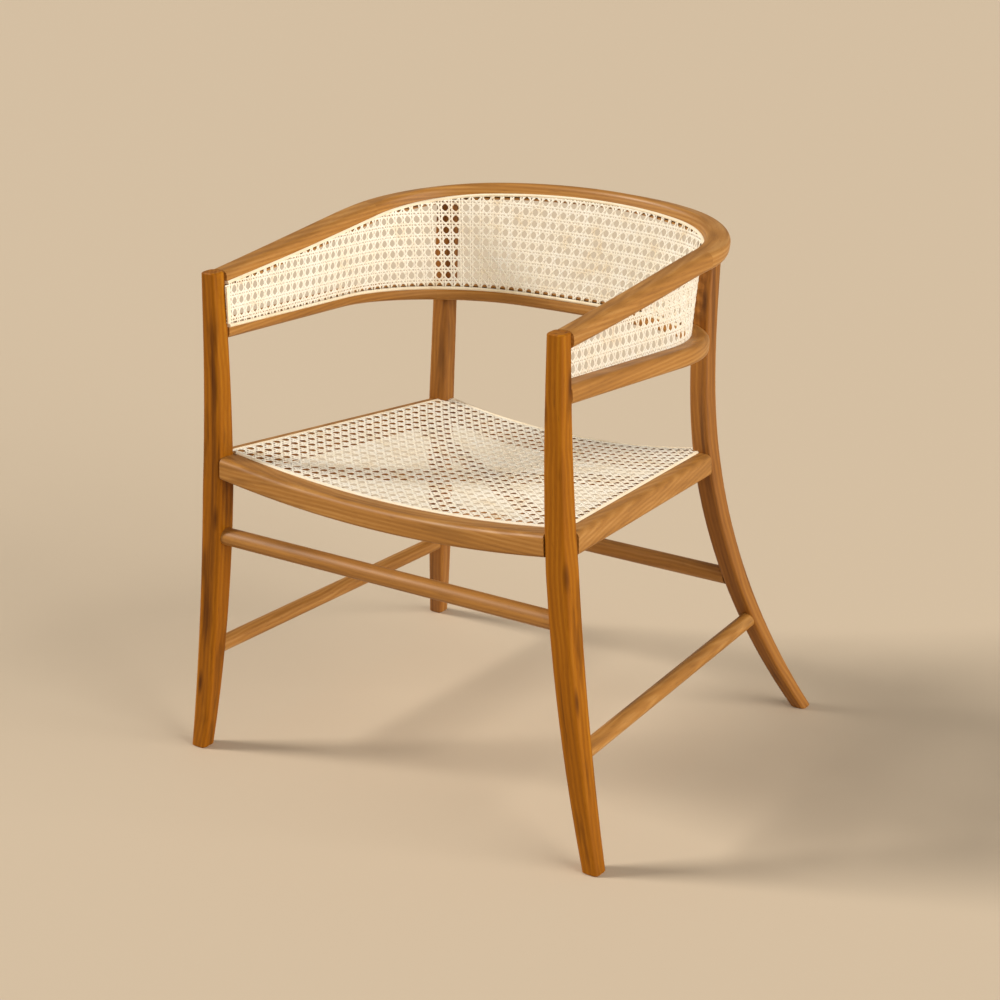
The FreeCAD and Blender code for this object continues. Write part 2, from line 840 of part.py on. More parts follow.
def side_room():
    """Room for the right side rail behind the post, to cut the cross rails with."""
    inset = side_rail_width + joint_gap
    high = seat_rail_height
    corners = [(-high, -3 * high, 0), (-high, high, 0), (inset, high, 0), (inset, -3 * high, 0)]
    return side_bar(corners, 0)


def seat_side_rail():
    """Right side rail, straight, with a lip that drops with the cane."""
    bottom = -seat_rail_height
    corners = [(0, bottom, seat_lower_radius), (0, 0, seat_edge_radius)]
    corners += seat_groove_corners(side_cane_margin, 1, cane_clearance)
    corners += [(side_rail_width, -side_lip_drop, 0), (side_rail_width, bottom, 0)]
    rail = side_cut(side_bar(corners, front_leg_size), joint_gap)
    return rail.cut(front_reed_room())


def front_reed_room():
    """Groove that lets the front reed run on over the side rails."""
    far = cane_front_y - seat_groove_width
    corners = [(far, -groove_depth), (cane_front_y, -groove_depth),
               (cane_front_y, groove_depth), (far, groove_depth)]
    return dipped([(a, b, 0) for a, b in corners], cane_front_y, cane_front_half, front_span)


def dip_wire(y, half_width):
    """Cross-section of the seat's cane at a depth: an arched strip of the cane's thickness."""
    left, low, right = [seat_point(x, y, z + cane_clearance) for x, z in
                        ((-half_width, 0), (0, -seat_dish), (half_width, 0))]
    rise = Vector(0, 0, cane_thickness)
    lower = Part.Arc(left, low, right).toShape()
    upper = Part.Arc(right + rise, low + rise, left + rise).toShape()
    right_end = Part.LineSegment(right, right + rise).toShape()
    left_end = Part.LineSegment(left + rise, left).toShape()
    return Part.Wire([lower, right_end, upper, left_end])


def leg_keep_out():
    """Room round the right rear leg that the seat's cane is cut away from."""
    side = 2 * leg_half + 2 * spline_width
    low = rear_joint_z - seat_rail_height
    high = rear_joint_z + seat_rail_height
    return skin(lambda z: square_section(rear_leg_x(z), rear_leg_y(z), z, side), [low, high])


def seat_openings():
    """Upright cutters for the grid of openings in the seat's cane, fanned as its sides are."""
    front = cane_front_y + seat_opening_margin
    rear = cane_rear_y - seat_opening_margin
    pitch = (rear - front + seat_bar) / seat_openings_deep
    cutters = []
    for row in range(seat_openings_deep):
        near = front + row * pitch
        far = near + pitch - seat_bar
        for column in range(seat_openings_wide):
            corners = []
            for y, ends in ((near, (0, 1)), (far, (1, 0))):
                half = side_line(y, side_cane_margin + seat_opening_margin)
                wide = (2 * half + seat_bar) / seat_openings_wide
                left = -half + column * wide
                corners += [seat_point(left + end * (wide - seat_bar), y, -3 * seat_dish) for end in ends]
            outline = Part.makePolygon(corners + corners[:1])
            cutters.append(Part.Face(outline).extrude(Vector(0, 0, 4 * seat_dish)))
    return cutters


def seat_cane():
    """Woven seat as a thin dished sheet with openings, cut round the rear legs."""
    front = dip_wire(cane_front_y + cane_clearance, cane_front_half - cane_clearance)
    rear = dip_wire(cane_rear_y - cane_clearance, cane_rear_half - cane_clearance)
    sheet = Part.makeLoft([front, rear], True, True)
    room = leg_keep_out()
    return sheet.cut([room, mirrored(room)] + seat_openings())


def reed_corners(edge, sign):
    """Section of a seat reed in the groove beside the cane's edge, eased on top."""
    near = edge - sign * spline_clearance
    far = near - sign * spline_width
    ease = sign * spline_chamfer
    shoulder = spline_proud - spline_chamfer
    loop = [(near, -spline_depth), (near, shoulder), (near - ease, spline_proud),
            (far + ease, spline_proud), (far, shoulder), (far, -spline_depth)]
    return [(a, b, 0) for a, b in loop]


def seat_front_spline():
    """Reed along the front of the seat's cane, between the posts."""
    reed = dipped(reed_corners(cane_front_y, 1), cane_front_y, cane_front_half, front_span + spline_width)
    return end_cut(reed, front_span, front_joint_z, post_face_slope, reed_gap)


def seat_rear_spline():
    """Reed along the back of the seat's cane, between the rear legs."""
    reed = dipped(reed_corners(cane_rear_y, -1), cane_rear_y, cane_rear_half, rear_span + spline_width)
    return end_cut(reed, rear_span, rear_joint_z, leg_inner_slope, reed_gap)


def seat_side_spline():
    """Reed along the right side of the seat's cane, from the post to the rear leg."""
    return side_cut(side_bar(reed_corners(side_cane_margin, 1), front_leg_size), reed_gap)


def brace_ends():
    """Front right and rear left ends of a slat's middle line, in the flat seat frame."""
    front_y = side_front.y + brace_front_inset
    rear_y = side_rear.y - brace_rear_inset
    front = Vector(side_line(front_y, brace_side_inset), front_y, 0)
    rear = Vector(-side_line(rear_y, brace_side_inset), rear_y, 0)
    return front, rear


def brace_slat():
    """Slat from the front right corner to the rear left one, before the crossing is cut."""
    front, rear = brace_ends()
    run = rear - front
    run.normalize()
    across = Vector(-run.y, run.x, 0) * (brace_width / 2)
    ends = [front - across - run * brace_width / 2, front + across - run * brace_width / 2,
            rear + across + run * brace_width / 2, rear - across + run * brace_width / 2]
    slat = Part.Face(Part.makePolygon(ends + ends[:1])).extrude(Vector(0, 0, -brace_thickness))
    outline = [Vector(side_line(y, brace_end_inset), y, 0) for y in (side_front.y, side_rear.y)]
    outline += [Vector(-p.x, p.y, 0) for p in outline[::-1]]
    inside = Part.Face(Part.makePolygon(outline + outline[:1])).extrude(Vector(0, 0, -2 * brace_thickness))
    return slat.common(inside)


def brace_pair():
    """Both slats, halved into each other where they cross."""
    one = brace_slat()
    other = mirrored(one)
    mid = -brace_thickness / 2
    reach = overall_depth
    upper = Part.makeBox(2 * reach, 2 * reach, brace_thickness, Vector(-reach, -reach, mid))
    shared = one.common(other)
    return under_seat(one.cut(shared.common(upper))), under_seat(other.cut(shared.cut(upper)))


def brace_screw(point, grow):
    """Countersunk screw driven up through a slat's end into the side rail, larger by grow."""
    floor = point - Vector(0, 0, brace_thickness)
    shank = screw_shank_size / 2 + grow
    head = Part.makeCone(screw_head_size / 2 + grow, shank, screw_head_depth + grow, floor)
    tip = point + Vector(0, 0, screw_grip + grow)
    return under_seat(head.fuse(cylinder(floor, tip, 2 * shank)).removeSplitter())


def round_bar(start, end, diameter, first_cut, last_cut):
    """Stretcher between two leg centres: shouldered at the legs' faces, with a tenon at each end."""
    bar = cylinder(start, end, diameter)
    axis = end - start
    axis.normalize()
    pins = []
    for centre, face, normal in ((start, *first_cut), (end, *last_cut)):
        bar = trim(bar, face, normal)
        inward = axis if centre is start else -axis
        shoulder = centre + inward * ((face - centre).dot(normal) / inward.dot(normal))
        pins.append((shoulder + inward * tenon_length, shoulder - inward * tenon_length))
    for root, tip in pins:
        bar = bar.fuse(cylinder(root, tip, tenon_size))
    return bar.removeSplitter(), pins


def cross_stretcher(leg_x, y, leg_side, height):
    """Stretcher between a pair of legs, and the tenon that the right leg takes."""
    x = leg_x(height)
    inner = x - leg_side(height) / 2 - joint_gap
    lean = slope_at(leg_x, height)
    cuts = [(Vector(side * inner, y, height), Vector(side, 0, -lean)) for side in (-1, 1)]
    bar, pins = round_bar(Vector(-x, y, height), Vector(x, y, height), stretcher_size, *cuts)
    return bar, pins[1]


def side_stretcher():
    """Right side stretcher, and the tenons that the post and the rear leg take."""
    z = side_stretcher_height
    start = Vector(front_leg_x(z), front_leg_y, z)
    end = Vector(rear_leg_x(z), rear_leg_y(z), z)
    leg_point = end - Vector(0, rear_leg_side(z) / 2 + joint_gap, 0)
    leg_cut = (leg_point, Vector(0, 1, -slope_at(rear_leg_y, z)))
    post_point, post_normal = post_face(z, joint_gap)
    return round_bar(start, end, side_stretcher_size, (post_point, post_normal), leg_cut)


def seat_dowels():
    """Right-hand dowels of the seat frame as (start in the rail, end in the leg), by leg."""
    across = Vector(1, 0, 0)
    back = Vector(0, 1, 0)
    front, rear = [], []
    for offset in (seat_dowel_offset, -seat_dowel_offset):
        z = seat_z(front_leg_y) - seat_dowel_depth + offset
        face = Vector(front_leg_x(z) - front_leg_side(z) / 2, front_leg_y, z)
        front.append((face - across * seat_dowel_rail_reach, face + across * seat_dowel_reach))
        z = seat_z(rear_joint_y) - seat_dowel_depth + offset
        face = Vector(rear_leg_x(z) - rear_leg_side(z) / 2, rear_joint_y, z)
        rear.append((face - across * seat_dowel_rail_reach, face + across * seat_dowel_reach))
    z = seat_z(front_leg_y) - seat_dowel_depth
    face = Vector(post_x, front_leg_y + front_leg_side(z) / 2, z)
    front.append((face + back * seat_dowel_rail_reach, face - back * seat_dowel_reach))
    z = seat_z(rear_joint_y) - seat_dowel_depth
    face = Vector(leg_x, rear_leg_y(z) - rear_leg_side(z) / 2, z)
    rear.append((face - back * seat_dowel_rail_reach, face + back * seat_dowel_reach))
    return front, rear


def flipped(point):
    """The same point on the other side of the chair."""
    return Vector(-point.x, point.y, point.z)


def rail_dowel(frame, width):
    """Dowel along a rail, half on each side of a section."""
    middle = rail_middle(frame, width)
    return middle - frame.along * rail_dowel_reach, middle + frame.along * rail_dowel_reach


def build():
    """Every piece of the chair, by name."""
    pieces = {}

    # Rails round the back
    lower_joint_t = lower_plan.at_bearing(rear_leg_bearing)
    arm = skin(top_section, *smooth_runs(top_plan, lower_plan, 0, 1))
    arm = trim(arm, *post_face(arm_middle_height, joint_gap))
    crest = skin(top_section, *smooth_runs(top_plan, lower_plan, 1, 3))
    lower_arm = skin(lower_section, *smooth_runs(lower_plan, top_plan, 0, lower_joint_t))
    lower_arm = trim(lower_arm, *post_face(lower_front_height, joint_gap))
    lower_back = skin(lower_section, *smooth_runs(lower_plan, top_plan, lower_joint_t, 6 - lower_joint_t))

    # Legs and stretchers
    post = front_leg()
    leg = rear_leg().cut(top_bed()).cut(lower_bed())
    height = front_stretcher_height
    front_bar, front_tenon = cross_stretcher(front_leg_x, front_leg_y, front_leg_side, height)
    height = rear_stretcher_height
    rear_bar, rear_tenon = cross_stretcher(rear_leg_x, rear_leg_y(height), rear_leg_side, height)
    side_piece, side_tenons = side_stretcher()
    for root, tip in (front_tenon, side_tenons[0]):
        post = bore(post, root, tip, tenon_size)
    for root, tip in (rear_tenon, side_tenons[1]):
        leg = bore(leg, root, tip, tenon_size)

    # Dowels of the rails
    arm_t = top_plan.arm_t(post_rear_y)
    lower_t = lower_plan.arm_t(post_face(lower_front_height, 0)[0].y)
    arm_dowel = rail_dowel(top_frame(arm_t), top_rail_size(arm_t)[0])
    bend_dowel = rail_dowel(top_frame(1), top_rail_width)
    crest_dowel = rail_dowel(top_frame(3), top_rail_width)
    lower_dowel = rail_dowel(lower_frame(lower_t), lower_rail_width)
    lower_bend_dowel = rail_dowel(lower_frame(lower_joint_t), lower_rail_width)
    leg_top = Vector(rear_leg_top_x, rear_leg_top_y, rear_leg_top_z - top_rail_height / 2)
    leg_dowel = (leg_top - Vector(0, 0, leg_dowel_sink), leg_top + Vector(0, 0, leg_dowel_rise))
    for start, end in (arm_dowel, bend_dowel):
        arm = bore(arm, start, end, rail_dowel_size)
    for start, end in (bend_dowel, crest_dowel):
        crest = bore(crest, start, end, rail_dowel_size)
    crest = bore(crest, leg_dowel[0], leg_dowel[1], leg_dowel_size)
    leg = bore(leg, leg_dowel[0], leg_dowel[1], leg_dowel_size)
    for start, end in (lower_dowel, lower_bend_dowel):
        lower_arm = bore(lower_arm, start, end, rail_dowel_size)
    start, end = lower_bend_dowel
    lower_back = bore(lower_back, start, end, rail_dowel_size)
    lower_back = bore(lower_back, flipped(start), flipped(end), rail_dowel_size)
    for start, end in (arm_dowel, lower_dowel):
        post = bore(post, start, end, rail_dowel_size)

    # Seat frame
    front_rail = seat_front_rail()
    rear_rail = seat_rear_rail()
    side_rail = seat_side_rail()
    front_dowels, rear_dowels = seat_dowels()
    for start, end in front_dowels:
        post = bore(post, start, end, seat_dowel_size)
    for start, end in rear_dowels:
        leg = bore(leg, start, end, seat_dowel_size)
    for start, end in front_dowels[2:] + rear_dowels[2:]:
        side_rail = bore(side_rail, start, end, seat_dowel_size)
    for start, end in front_dowels[:2]:
        front_rail = bore(front_rail, start, end, seat_dowel_size)
        front_rail = bore(front_rail, flipped(start), flipped(end), seat_dowel_size)
    for start, end in rear_dowels[:2]:
        rear_rail = bore(rear_rail, start, end, seat_dowel_size)
        rear_rail = bore(rear_rail, flipped(start), flipped(end), seat_dowel_size)

    # Crossed slats and their screws
    slat, other_slat = brace_pair()
    screws = [brace_screw(point, 0) for point in brace_ends()]
    screws += [mirrored(screw) for screw in screws]
    holes = [brace_screw(point, screw_clearance) for point in brace_ends()]
    holes += [mirrored(hole) for hole in holes]
    for hole in holes:
        slat = slat.cut(hole)
        other_slat = other_slat.cut(hole)
        side_rail = side_rail.cut(hole)

    # Reeds and cane
    top_round = smooth_runs(top_plan, lower_plan, 0, 6)
    lower_round = smooth_runs(lower_plan, top_plan, 0, 6)
    bead_end = top_plan.arm_t(post_rear_y - post_lap + edge_bead_width)
    back_cane = skin(cane_section, *top_round)
    top_reed = skin(top_spline_section, *top_round)
    lower_reed = skin(lower_spline_section, *lower_round)
    bead = skin(edge_bead_section, [0, bead_end])
    cane_height = (arm_middle_height + lower_front_height) / 2
    end_point, end_normal = post_face(cane_height, reed_gap)
    back_cane = trim(back_cane, end_point, end_normal)
    lap = skin(lap_section, [0, top_plan.arm_t(post_rear_y + post_lap)])
    lap = trim(lap, end_point, end_normal * -1)
    lap = trim(lap, *post_face(cane_height, -post_lap))
    back_cane = back_cane.fuse([lap, mirrored(lap)])
    cutters = back_openings()
    back_cane = back_cane.cut(cutters + [mirrored(cutter) for cutter in cutters])
    bead = trim(bead, *post_face(cane_height, -post_lap))
    top_reed = trim(top_reed, *post_face(arm_middle_height, reed_gap))
    lower_reed = trim(lower_reed, *post_face(lower_front_height, reed_gap))
    side_reed = seat_side_spline()

    pairs = {
        "front_leg": post,
        "rear_leg": leg,
        "arm_rail": arm,
        "crest_rail": crest,
        "lower_rail": lower_arm,
        "seat_side_rail": side_rail,
        "side_stretcher": side_piece,
        "back_edge_bead": bead,
        "seat_side_spline": side_reed,
    }
    for name, shape in pairs.items():
        pieces[name + "_right"] = shape
        pieces[name + "_left"] = mirrored(shape)
    pieces["lower_rail_back"] = lower_back
    pieces["seat_front_rail"] = front_rail
    pieces["seat_rear_rail"] = rear_rail
    pieces["seat_brace_right"] = slat
    pieces["seat_brace_left"] = other_slat
    pieces["front_stretcher"] = front_bar
    pieces["rear_stretcher"] = rear_bar
    pieces["back_cane"] = back_cane
    pieces["back_spline_top"] = top_reed
    pieces["back_spline_lower"] = lower_reed
    pieces["seat_cane"] = seat_cane()
    pieces["seat_front_spline"] = seat_front_spline()
    pieces["seat_rear_spline"] = seat_rear_spline()
    pieces["brace_screws"] = Part.makeCompound(screws)

    groups = {
        "top_rail_dowels": ([arm_dowel, bend_dowel], [crest_dowel], rail_dowel_size),
        "lower_rail_dowels": ([lower_dowel, lower_bend_dowel], [], rail_dowel_size),
        "leg_top_dowels": ([leg_dowel], [], leg_dowel_size),
        "seat_frame_dowels": (front_dowels + rear_dowels, [], seat_dowel_size),
    }
    for name, (paired, single, size) in groups.items():
        bars = [cylinder(start, end, size) for start, end in paired]
        bars += [mirrored(bar) for bar in bars]
        bars += [cylinder(start, end, size) for start, end in single]
        pieces[name] = Part.makeCompound(bars)
    return pieces


os.makedirs("parts", exist_ok=True)
for piece_name, piece in build().items():
    piece.exportStep("parts/" + piece_name + ".step")
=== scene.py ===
"""Dressed model of a low teak armchair with a wrapped cane back and a dished cane seat.

Metres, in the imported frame: X to the right as seen from in front, Y to the back, Z up. The wooden
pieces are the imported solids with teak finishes. The two cane sheets are replaced by woven strands.
"""
import logging
import math
from dataclasses import dataclass, field
from enum import Enum

import bpy
import numpy as np
from mathutils import Matrix, Vector


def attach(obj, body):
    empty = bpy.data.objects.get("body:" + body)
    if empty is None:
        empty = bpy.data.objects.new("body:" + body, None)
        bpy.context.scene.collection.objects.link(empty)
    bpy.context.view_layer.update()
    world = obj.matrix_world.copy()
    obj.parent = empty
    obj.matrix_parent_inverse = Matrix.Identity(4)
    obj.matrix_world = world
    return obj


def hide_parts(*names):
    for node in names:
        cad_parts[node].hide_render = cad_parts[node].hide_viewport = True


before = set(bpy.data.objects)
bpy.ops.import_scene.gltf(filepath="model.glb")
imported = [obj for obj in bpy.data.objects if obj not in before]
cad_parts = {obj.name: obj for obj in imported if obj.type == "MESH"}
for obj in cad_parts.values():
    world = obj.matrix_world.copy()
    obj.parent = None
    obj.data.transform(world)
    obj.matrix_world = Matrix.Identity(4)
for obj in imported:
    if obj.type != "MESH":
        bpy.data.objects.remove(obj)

log = logging.getLogger("armchair")

# Names for types that come up often
Rgb = tuple[float, float, float]
Xyz = tuple[float, float, float]
Span = tuple[float, float, float, float]
Line = tuple[np.ndarray, np.ndarray, np.ndarray]
Socket = bpy.types.NodeSocket
Place = tuple[Socket, Socket, Socket]

# Stations of a rail's line, and how often a crossing is halved
LINE_MIDDLE = 3.0
LINE_END = 6.0
HALVINGS = 40

# Metres between the figures of a bent rail's two sides, and the reach within which corners are joined
SIDE_SHIFT = 3.7
MERGE_REACH = 1e-5

# Corners of a strand's section and of a face, and a length too small to matter
CORNERS = 4
TINY = 1e-9


class Grain(Enum):
    """Which way the grain of a wooden piece runs."""

    FRONT_LEG = "front_leg"
    REAR_LEG = "rear_leg"
    DEPTH = "depth"
    WIDTH = "width"
    TOP_RAIL = "top_rail"
    LOWER_RAIL = "lower_rail"
    SLAT = "slat"


class Family(Enum):
    """The four families of strands in a cane weave."""

    UPRIGHTS = "uprights"
    ROWS = "rows"
    RISING = "rising"
    FALLING = "falling"


@dataclass(frozen=True)
class TeakFinish:
    """Oiled teak: its colours from dark streaks to pale bands, and its sheen. The default colours, which
    all but the legs take, are paled partly by painted sheen for the light off the tops.
    """

    dark: Rgb = (0.118, 0.040, 0.006)
    middle: Rgb = (0.388, 0.170, 0.033)
    pale: Rgb = (0.525, 0.270, 0.078)
    roughness: float = 0.45
    bump: float = 0.12
    bump_depth: float = 0.0006
    veins: float = 0.55
    specular: float = 0.3


# The legs' colours are darker and more saturated than the other pieces': partly the boards' own colour,
# partly painted shade for their shaded front faces.
FRONT_LEG_TEAK_PAINTED_SHADE = TeakFinish(dark=(0.080, 0.021, 0.001), middle=(0.315, 0.103, 0.003),
                            pale=(0.440, 0.172, 0.009), veins=1.3, specular=0.12)
REAR_LEG_TEAK_PAINTED_SHADE = TeakFinish(dark=(0.080, 0.024, 0.004), middle=(0.312, 0.117, 0.016),
                           pale=(0.440, 0.192, 0.034), veins=1.0, specular=0.28)
# Paler and less saturated than the legs: partly the boards' own colour, partly painted sheen for the
# light reflected off the tops of the rails.
RAIL_TEAK_PAINTED_SHEEN = TeakFinish()
LEG_TONES_PAINTED_SHADE = {Grain.FRONT_LEG: FRONT_LEG_TEAK_PAINTED_SHADE, Grain.REAR_LEG: REAR_LEG_TEAK_PAINTED_SHADE}


@dataclass(frozen=True)
class Pattern:
    """A pattern drawn out along the grain: its repeats in a metre along and across, and its detail."""

    along: float
    across: float
    detail: float = 0.0
    roughness: float = 0.5


@dataclass(frozen=True)
class TeakFigure:
    """The figure that all the teak shares.

    A span is (low, high, result at low, result at high) for a pattern's value. A share is how much of
    a pattern counts. The heart is the middle of the year rings, beside the piece.
    """

    streaks: Pattern = Pattern(along=2.6, across=95.0, detail=5.0, roughness=0.62)
    clouds: Pattern = Pattern(along=2.0, across=22.0, detail=2.0)
    pores: Pattern = Pattern(along=55.0, across=1100.0, detail=2.0)
    veins: Pattern = Pattern(along=6.5, across=52.0, detail=3.0, roughness=0.55)
    flecks: Pattern = Pattern(along=7.0, across=34.0)
    ring_spacing: float = 0.0052
    heart_across: float = 0.05
    heart_height: float = 0.031
    wander: float = 0.022
    wander_along: float = 3.0
    wander_scale: float = 2.0
    wander_detail: float = 2.0
    streak_share: float = 0.58
    cloud_share: float = 0.30
    ring_share: float = 0.12
    pore_share: float = 0.30
    to_dark: Span = (0.24, 0.52, 0.55, 0.0)
    to_pale: Span = (0.52, 0.72, 0.0, 1.0)
    line_span: Span = (0.30, 0.40, 0.5, 0.0)
    vein_span: Span = (0.55, 0.72, 0.0, 0.58)
    fleck_span: Span = (0.04, 0.17, 0.7, 0.0)
    pore_span: Span = (0.58, 0.70, 0.0, 1.0)
    sheen_span: Span = (0.3, 0.7, 0.07, -0.05)
    streak_height: float = 0.35
    pore_height: float = -0.5


@dataclass(frozen=True)
class CaneFinish:
    """Natural cane: pale strands with soft blotches and faint fibres.

    The three colours stand at the three stops of a tone that is part blotch and part fibre.
    """

    shade: Rgb = (0.800, 0.650, 0.440)
    body: Rgb = (0.935, 0.855, 0.705)
    light: Rgb = (0.955, 0.905, 0.800)
    stops: tuple[float, float, float] = (0.30, 0.45, 0.65)
    blotch_scale: float = 38.0
    blotch_detail: float = 3.0
    blotch_share: float = 0.7
    fibre_scale: float = 900.0
    fibre_detail: float = 2.0
    fibre_share: float = 0.3
    grit: float = 0.6
    roughness: float = 0.5
    shade_rise: float = 0.08
    tone_low: float = 0.3
    tone_high: float = 0.7
    bump: float = 0.08
    bump_depth: float = 0.0003
    specular: float = 0.35


REED = CaneFinish(body=(0.91, 0.78, 0.57), light=(0.94, 0.84, 0.66))


@dataclass(frozen=True)
class PlainFinish:
    """Finish of small hidden pieces: one colour with a faint cloudy variation."""

    colour: Rgb
    fade: float
    metallic: float
    roughness: float
    cloud_scale: float = 220.0
    cloud_detail: float = 3.0
    cloud_low: float = 0.3
    cloud_high: float = 0.7


RAW_DOWEL = PlainFinish(colour=(0.62, 0.42, 0.24), fade=0.2, metallic=0.0, roughness=0.7)
ZINC_SCREW = PlainFinish(colour=(0.6, 0.6, 0.6), fade=0.15, metallic=1.0, roughness=0.35)


@dataclass(frozen=True)
class LegLine:
    """Curve of a leg's middle: below its top it leaves the straight by reach (1 - z / top) ** power."""

    splay: float
    splay_top: float
    splay_power: float
    sweep: float
    sweep_top: float
    sweep_power: float


LEG_LINES = {
    Grain.FRONT_LEG: LegLine(splay=0.059, splay_top=0.620, splay_power=2.0,
                             sweep=0.0, sweep_top=0.620, sweep_power=2.0),
    Grain.REAR_LEG: LegLine(splay=0.110, splay_top=0.600, splay_power=2.2,
                            sweep=0.1321, sweep_top=0.470, sweep_power=1.85),
}


@dataclass(frozen=True)
class RailLine:
    """Inner line of a rail seen from above: a straight arm, a bend and a bowed back, mirrored."""

    centre_x: float
    centre_y: float
    bend: float
    bow: float
    flare: float
    front_y: float

    @property
    def bow_centre(self) -> float:
        """Depth of the centre of the bowed back."""
        return self.centre_y - math.sqrt((self.bow - self.bend) ** 2 - self.centre_x ** 2)

    @property
    def turn(self) -> float:
        """Bearing at which the bend passes into the bowed back."""
        return math.atan2(self.centre_y - self.bow_centre, self.centre_x)

    def point(self, t: np.ndarray) -> tuple[np.ndarray, np.ndarray, np.ndarray]:
        """Places on the line: straight to t = 1, an arc about the bend's centre to 2, the bow to 3.

        Args:
            t: stations from 0 at the right post to 6 at the left one.

        Returns:
            x, y and the outward bearing of each station.
        """
        far = t > LINE_MIDDLE
        side = np.where(far, LINE_END - t, t)
        bend_x = self.centre_x + self.bend * math.cos(self.flare)
        bend_y = self.centre_y - self.bend * math.sin(self.flare)
        arm_y = self.front_y + (bend_y - self.front_y) * side
        arm_x = bend_x - (bend_y - arm_y) * math.tan(self.flare)
        around = -self.flare + (self.turn + self.flare) * (side - 1)
        along = self.turn + (math.pi / 2 - self.turn) * (side - 2)
        parts = [side <= 1, side <= 2]
        x = np.select(parts, [arm_x, self.centre_x + self.bend * np.cos(around)],
                      self.bow * np.cos(along))
        y = np.select(parts, [arm_y, self.centre_y + self.bend * np.sin(around)],
                      self.bow_centre + self.bow * np.sin(along))
        bearing = np.select(parts, [np.full_like(side, -self.flare), around], along)
        return np.where(far, -x, x), y, np.where(far, math.pi - bearing, bearing)

    def crossing(self, x: np.ndarray, y: np.ndarray, bearing: np.ndarray) -> np.ndarray:
        """Stations where the line crosses upright planes through (x, y), found by halving.

        Args:
            x: across places of the planes.
            y: depths of the planes.
            bearing: directions of the planes.

        Returns:
            The station of each crossing.
        """
        low = np.zeros_like(x)
        high = np.full_like(x, LINE_END)
        for _ in range(HALVINGS):
            middle = (low + high) / 2
            px, py, _ = self.point(middle)
            short = (py - y) * np.cos(bearing) - (px - x) * np.sin(bearing) < 0
            low = np.where(short, middle, low)
            high = np.where(short, high, middle)
        return (low + high) / 2


TOP_LINE = RailLine(centre_x=0.092, centre_y=0.048, bend=0.155, bow=0.396, flare=0.0, front_y=-0.285)
LOWER_LINE = RailLine(centre_x=0.0719, centre_y=-0.0093, bend=0.186, bow=0.888,
                      flare=math.radians(2.3), front_y=-0.285)
RAIL_LINES = {Grain.TOP_RAIL: TOP_LINE, Grain.LOWER_RAIL: LOWER_LINE}


@dataclass
class BackSheet:
    """The wrapped sheet of the back, between the inner lines of the top and the lower rail.

    A point is (u, v): u runs along the sheet's middle from the centre of the back, v runs up from the
    lower rail's line along the straight line that joins the two rails there.
    """

    post_y: float = -0.2731
    arm_height: float = 0.673
    crest_height: float = 0.7205
    straight_rise: float = 0.7
    lower_front: float = 0.606
    lower_back: float = 0.574
    inset: float = 0.00095
    lower_margin: float = 0.0080
    upper_margin: float = 0.0065
    post_lap: float = 0.0052
    row_drop: float = 0.0045
    stations: int = 1501
    u: np.ndarray = field(init=False)
    foot: np.ndarray = field(init=False)
    rise: np.ndarray = field(init=False)
    out: np.ndarray = field(init=False)
    span: np.ndarray = field(init=False)

    def __post_init__(self) -> None:
        """Lay out the sheet's stations from post to post."""
        t = np.linspace(0.0, LINE_END, self.stations)
        x, y, bearing = TOP_LINE.point(t)
        lower_x, lower_y, _ = LOWER_LINE.point(LOWER_LINE.crossing(x, y, bearing))
        middle_station = np.array([LINE_MIDDLE])
        top_back = TOP_LINE.point(middle_station)[1][0]
        low_back = LOWER_LINE.point(middle_station)[1][0]
        share = (y - self.post_y) / (top_back - self.post_y)
        fall = (lower_y - self.post_y) / (low_back - self.post_y)
        climb = self.straight_rise * share + (1 - self.straight_rise) * share ** 2
        top_z = self.arm_height + (self.crest_height - self.arm_height) * climb
        lower_z = self.lower_front + (self.lower_back - self.lower_front) * fall
        head = np.stack([x, y, top_z], axis=-1)
        self.foot = np.stack([lower_x, lower_y, lower_z], axis=-1)
        middle = (head + self.foot) / 2
        steps = np.linalg.norm(np.diff(middle, axis=0), axis=-1)
        run = np.concatenate([[0.0], np.cumsum(steps)])
        self.u = run - run[-1] / 2
        self.span = np.linalg.norm(head - self.foot, axis=-1)
        self.rise = (head - self.foot) / self.span[:, None]
        facing = np.stack([np.cos(bearing), np.sin(bearing), np.zeros_like(bearing)], axis=-1)
        lean = np.sum(facing * self.rise, axis=-1, keepdims=True)
        self.out = facing - self.rise * lean
        self.out /= np.linalg.norm(self.out, axis=-1, keepdims=True)

    def at(self, table: np.ndarray, u: np.ndarray) -> np.ndarray:
        """Rows of a station table, read at the places u."""
        return np.stack([np.interp(u, self.u, table[:, k]) for k in range(3)], axis=-1)

    @property
    def reach(self) -> float:
        """Half the length of the sheet between the posts."""
        half = self.stations // 2
        return float(np.interp(self.post_y - self.post_lap, self.foot[:half, 1], -self.u[:half]))

    def shift(self, u: np.ndarray) -> np.ndarray:
        """How far the rows sink towards the lower rail on their way from the back to the posts."""
        return self.row_drop * np.abs(u) / self.reach

    def limits(self, u: np.ndarray) -> tuple[np.ndarray, np.ndarray]:
        """Lowest and highest v of the sheet at the places u."""
        top = np.interp(u, self.u, self.span) - self.upper_margin
        return self.lower_margin + self.shift(u), top + self.shift(u)

    def point(self, u: np.ndarray, v: np.ndarray) -> tuple[np.ndarray, np.ndarray]:
        """Points of the sheet and the directions that face the sitter there.

        Args:
            u: places along the sheet.
            v: places up the sheet.

        Returns:
            Points and unit normals, one row for each place.
        """
        facing = -self.at(self.out, u)
        up = v - self.shift(u)
        place = self.at(self.foot, u) + self.at(self.rise, u) * up[:, None] + facing * self.inset
        return place, facing / np.linalg.norm(facing, axis=-1, keepdims=True)


